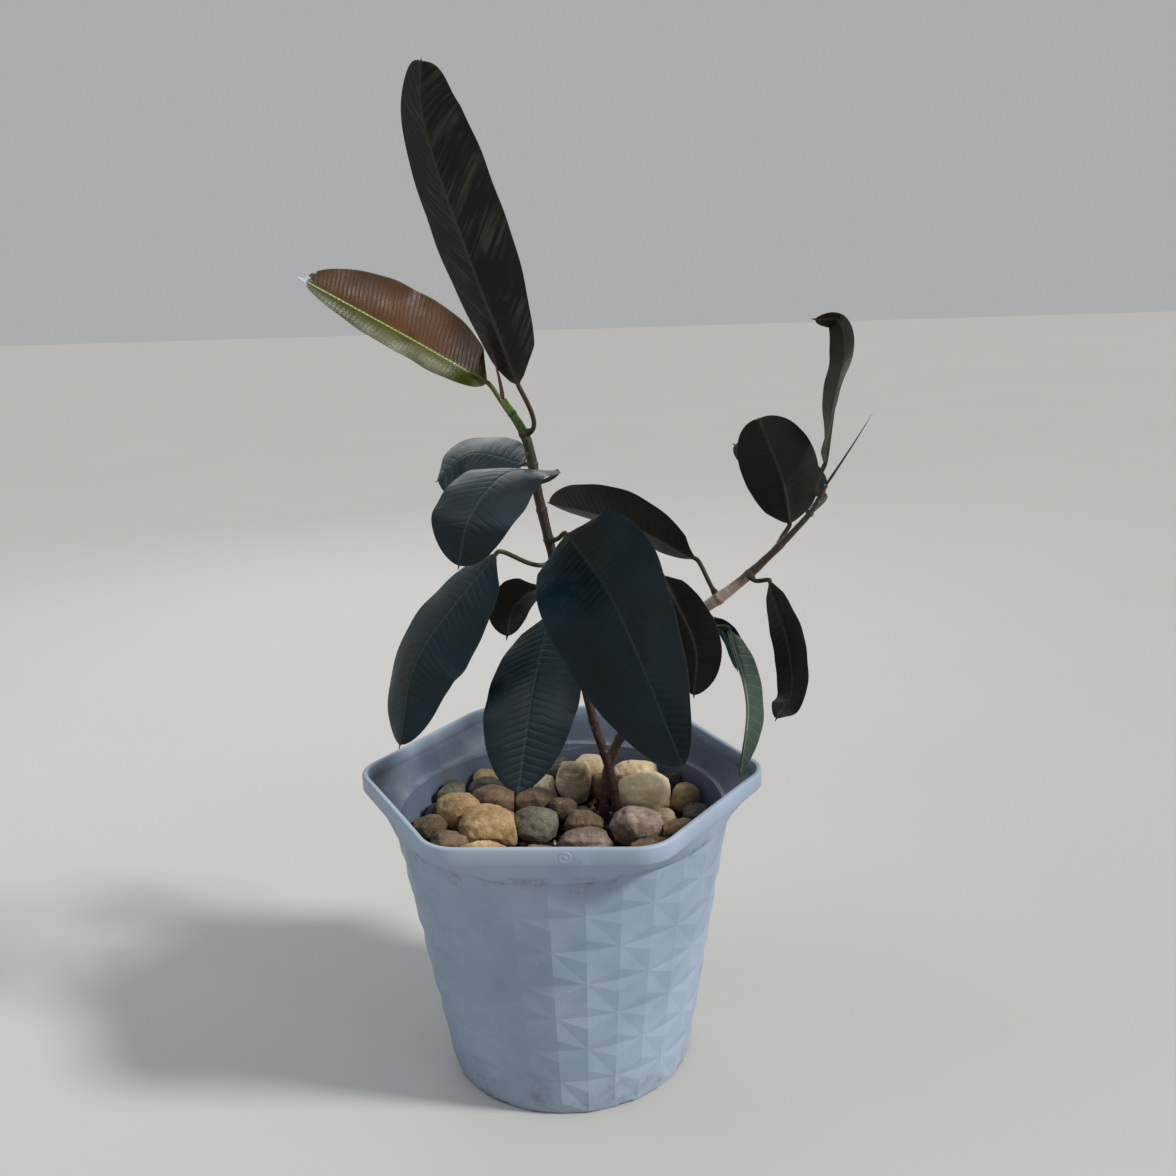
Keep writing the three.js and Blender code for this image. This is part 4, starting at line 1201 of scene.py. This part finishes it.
# %% [markdown]
# ## Pebbles
# The mulch is river stone: water-worn lumps, some split along a flat. The CAD model already has
# each stone's place and bulk, dented where it meets its neighbours. A merged copy of that mesh
# is subdivided with its sharper edges creased, which keeps split faces flat, then brought back to
# its full size and roughened along its normals with lumps and pits, so that no two are alike.

# %% Pebble shapes
STONES = (
    "grey dark brown tan brown brown tan grey brown tan dark cream cream dark cream brown dark "
    "brown speckled cream cream dark tan cream speckled dark brown tan tan grey brown grey brown "
    "cream tan dark tan"
).split()


CREASE_FROM, CREASE, MOST_GROWTH = 24, 0.62, 1.12  # degrees, Subdivision Surface's crease, times


def make_pebble(name, material, slot, seed):
    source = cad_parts[name].data
    bm = bmesh.new()
    bm.from_mesh(source)
    bmesh.ops.remove_doubles(bm, verts=bm.verts, dist=0.01 * MM)
    crease = bm.edges.layers.float.new("crease_edge")
    for edge in bm.edges:
        if edge.calc_face_angle(0.0) > math.radians(CREASE_FROM):
            edge[crease] = CREASE
    mesh = bpy.data.meshes.new(name + "_stone")
    bm.to_mesh(mesh)
    bm.free()
    made = put(name + "_stone", mesh)
    smooth = made.modifiers.new("smooth", "SUBSURF")
    smooth.levels = smooth.render_levels = 3
    settle(made)
    mesh = made.data
    count = len(mesh.vertices)
    places, normals = np.empty(3 * count), np.empty(3 * count)
    mesh.vertices.foreach_get("co", places)
    mesh.vertices.foreach_get("normal", normals)
    places, normals = places.reshape(-1, 3), normals.reshape(-1, 3)
    low, high = (np.array(corner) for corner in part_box(name))
    now_low, now_high = places.min(0), places.max(0)
    grown = np.minimum((high - low) / (now_high - now_low), MOST_GROWTH)
    places = (low + high) / 2 + (places - (now_low + now_high) / 2) * grown
    size = float((high - low).mean())
    broad = rough(places / MM, 0.055, seed)
    small = rough(places / MM, 0.2, seed + 40)
    fine = rough(places / MM, 0.7, seed + 80)
    offset = size * (0.045 * broad + 0.024 * small - 0.02 * np.abs(small)) + 0.0002 * fine
    places = places + normals * offset[:, None]
    mesh.vertices.foreach_set("co", places.ravel())
    mesh.materials.clear()
    mesh.materials.append(material)
    mesh.polygons.foreach_set("use_smooth", [True] * len(mesh.polygons))
    mesh.update()
    join_frame(made, slot, name)


# %% [markdown]
# ## Stone
# Each kind of stone has three tones that broad and fine noise mix, mineral specks, and a grain
# that pits the surface. Tan and cream stones are stained with ochre, speckled ones are peppered
# dark, and all carry a little dust on top.


# %% Stone finish
def stone_material(name, pale, mid, deep, speck, specks=0.25, scale=1.0):
    material, w, shader = new_material(name)
    place = w.place()
    broad = w.noise(place, 28.0 * scale, 4.0, 0.6)
    colour = w.ramp(broad, [(0.32, deep), (0.5, mid), (0.68, pale)])
    stone_by_stone = w.noise(place, 11.0, 0.0)
    shade = w.ramp(stone_by_stone, [(0.3, (0.5, 0.49, 0.47, 1)), (0.7, (1.3, 1.28, 1.22, 1))])
    colour = w.mix(1.0, colour, shade, "MULTIPLY")
    bedding = w.stretch(place, (0.3, 1, 4.5), (0.5, 0.8, 0.3))
    bands = w.noise(bedding, 60.0 * scale, 3.0, 0.5)
    colour = w.mix(w.times(w.span(bands, 0.55, 0.7), 0.35), colour, mid)
    fine = w.noise(place, 420.0, 4.0, 0.7)
    pepper = w.times(w.span(fine, 0.56, 0.66), specks)
    colour = w.mix(pepper, colour, speck)
    glints = w.times(w.span(w.noise(place, 650.0, 2.0), 0.63, 0.72), 0.3)
    colour = w.mix(glints, colour, "d9cdb8")
    dust = w.group(DUST, Place=place, Scale=90.0, Amount=0.15)["Mask"]
    colour = w.mix(dust, colour, "b3a58d")
    grain = w.group(GRAIN, Place=place, Scale=700.0)
    surface = w.minus(grain["Height"], w.times(grain["Pits"], 0.5))
    feed(w, shader, colour, w.span(fine, 0.3, 0.7, 0.7, 0.95), surface, 0.0016)
    return material


STONE_KINDS = {
    "tan": stone_material("stone_tan", "cdb38a", "a2875e", "6f5a3d", "3b2f20"),
    "cream": stone_material("stone_cream", "f8ead0", "ead6b2", "bfa379", "806848", 0.2),
    "grey": stone_material("stone_grey", "84816f", "5f5d50", "3c3b33", "22211d"),
    "dark": stone_material("stone_dark", "57554d", "37352f", "20201d", "8a867a", 0.15),
    "brown": stone_material("stone_brown", "876e50", "5f4c36", "382d20", "221c14"),
    "speckled": stone_material("stone_speckled", "9c8b82", "7b6a63", "57483f", "2b2320", 0.6, 1.6),
}
for index, kind in enumerate(STONES, 1):
    make_pebble(f"pebble_{index:02d}", STONE_KINDS[kind], f"stone_{kind}", index)
print(len(STONES), "pebbles")

# %% [markdown]
# ## Soil, crumbs and chips
# Between the stones the compost shows, with crumbs of soil and small chips of broken pebble.
# They lie anywhere, so Geometry Nodes scatter them over the soil's surface from a fixed seed:
# one low-poly chip is turned and scaled at random on each point. The soil's own CAD shape is
# right and only gets its finish.


# %% Soil finish
def soil_material(name, pale, deep):
    material, w, shader = new_material(name)
    place = w.place()
    clods = w.noise(place, 180.0, 6.0, 0.75)
    colour = w.mix(w.span(clods, 0.35, 0.7), deep, pale)
    fibres = w.group(BLOTCHES, Place=place, Scale=700.0, Low=0.6, High=0.7)["Share"]
    colour = w.mix(w.times(fibres, 0.4), colour, "6a4f36")
    feed(w, shader, colour, None, clods, 0.003)
    shader.inputs["Roughness"].default_value = 0.95
    return material


soil_dark = soil_material("soil", "3a2c20", "1c1510")
soil_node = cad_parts["soil"]
soil_node.data.materials.clear()
soil_node.data.materials.append(soil_dark)
SOIL_TOP, SOIL_SLOPE = 172 * MM, 0.07


def soil_level(y):
    return SOIL_TOP + SOIL_SLOPE * y


# %% Scatter tree
def build_chips(w, given):
    inputs = {"Mesh": given["Surface"], "Density": given["Density"], "Seed": given["Seed"]}
    points = w.first("GeometryNodeDistributePointsOnFaces", inputs)
    chip = w.first("GeometryNodeMeshIcoSphere", {"Radius": 1.0, "Subdivisions": 1})

    def chance(start, low, high, kind="FLOAT_VECTOR"):
        """A value between low and high for each chip; start is the number of the node's low socket."""
        inputs = {start: low, start + 1: high, "Seed": given["Seed"]}
        return w.add("FunctionNodeRandomValue", inputs, data_type=kind).outputs

    spin = chance(0, (0.0, 0.0, 0.0), (TURN, TURN, TURN))[0]
    squash = chance(0, (0.7, 0.5, 0.4), (1.3, 1.0, 0.8))[0]
    size = chance(2, given["Smallest"], given["Largest"], "FLOAT")[1]
    scaled = w.first("ShaderNodeVectorMath", {0: squash, 3: size}, operation="SCALE")
    inputs = {"Points": points, "Instance": chip, "Rotation": spin, "Scale": scaled}
    return w.first("GeometryNodeRealizeInstances", {0: w.first("GeometryNodeInstanceOnPoints", inputs)})


def scatter(name, values, slot):
    """Chips over a disc on the soil, kept a little inside the pot's wall."""
    rings, sides, reach = 10, 48, 108 * MM
    points = [(0.0, 0.0, soil_level(0))]
    faces = []
    for i in range(1, rings + 1):
        for j in range(sides):
            angle, radius = j * TURN / sides, reach * i / rings
            y = radius * math.sin(angle)
            points.append((radius * math.cos(angle), y, soil_level(y)))
    for j in range(sides):
        after = (j + 1) % sides
        faces.append((0, 1 + j, 1 + after))
        for i in range(rings - 1):
            low, high = 1 + i * sides, 1 + (i + 1) * sides
            faces.append((low + j, high + j, high + after, low + after))
    made = new_object(name, points, faces, smooth=False)
    grow(made, chip_tree, chip_ids, values)
    join_frame(made, slot)
    print(name, len(made.data.polygons), "faces")


kinds = {"Density": "Float", "Smallest": "Float", "Largest": "Float", "Seed": "Int"}
chip_tree, chip_ids = geometry_tree("scatter", "Surface", kinds, build_chips)
SCATTERED = [  # name, chips to the square metre, smallest and largest radius in mm, seed, finish, slot
    ("soil_crumbs", 26000.0, 1.0, 2.6, 4, soil_dark, "soil"),
    ("cream_chips", 4200.0, 1.6, 4.2, 11, STONE_KINDS["cream"], "stone_cream"),
    ("tan_chips", 5200.0, 1.8, 4.6, 23, STONE_KINDS["tan"], "stone_tan"),
    ("dark_chips", 4200.0, 2.0, 5.0, 37, STONE_KINDS["dark"], "stone_dark"),
]
for name, density, smallest, largest, seed, finish, slot in SCATTERED:
    values = {"Density": density, "Smallest": smallest * MM, "Largest": largest * MM}
    values |= {"Seed": seed, "Finish": finish}
    scatter(name, values, slot)
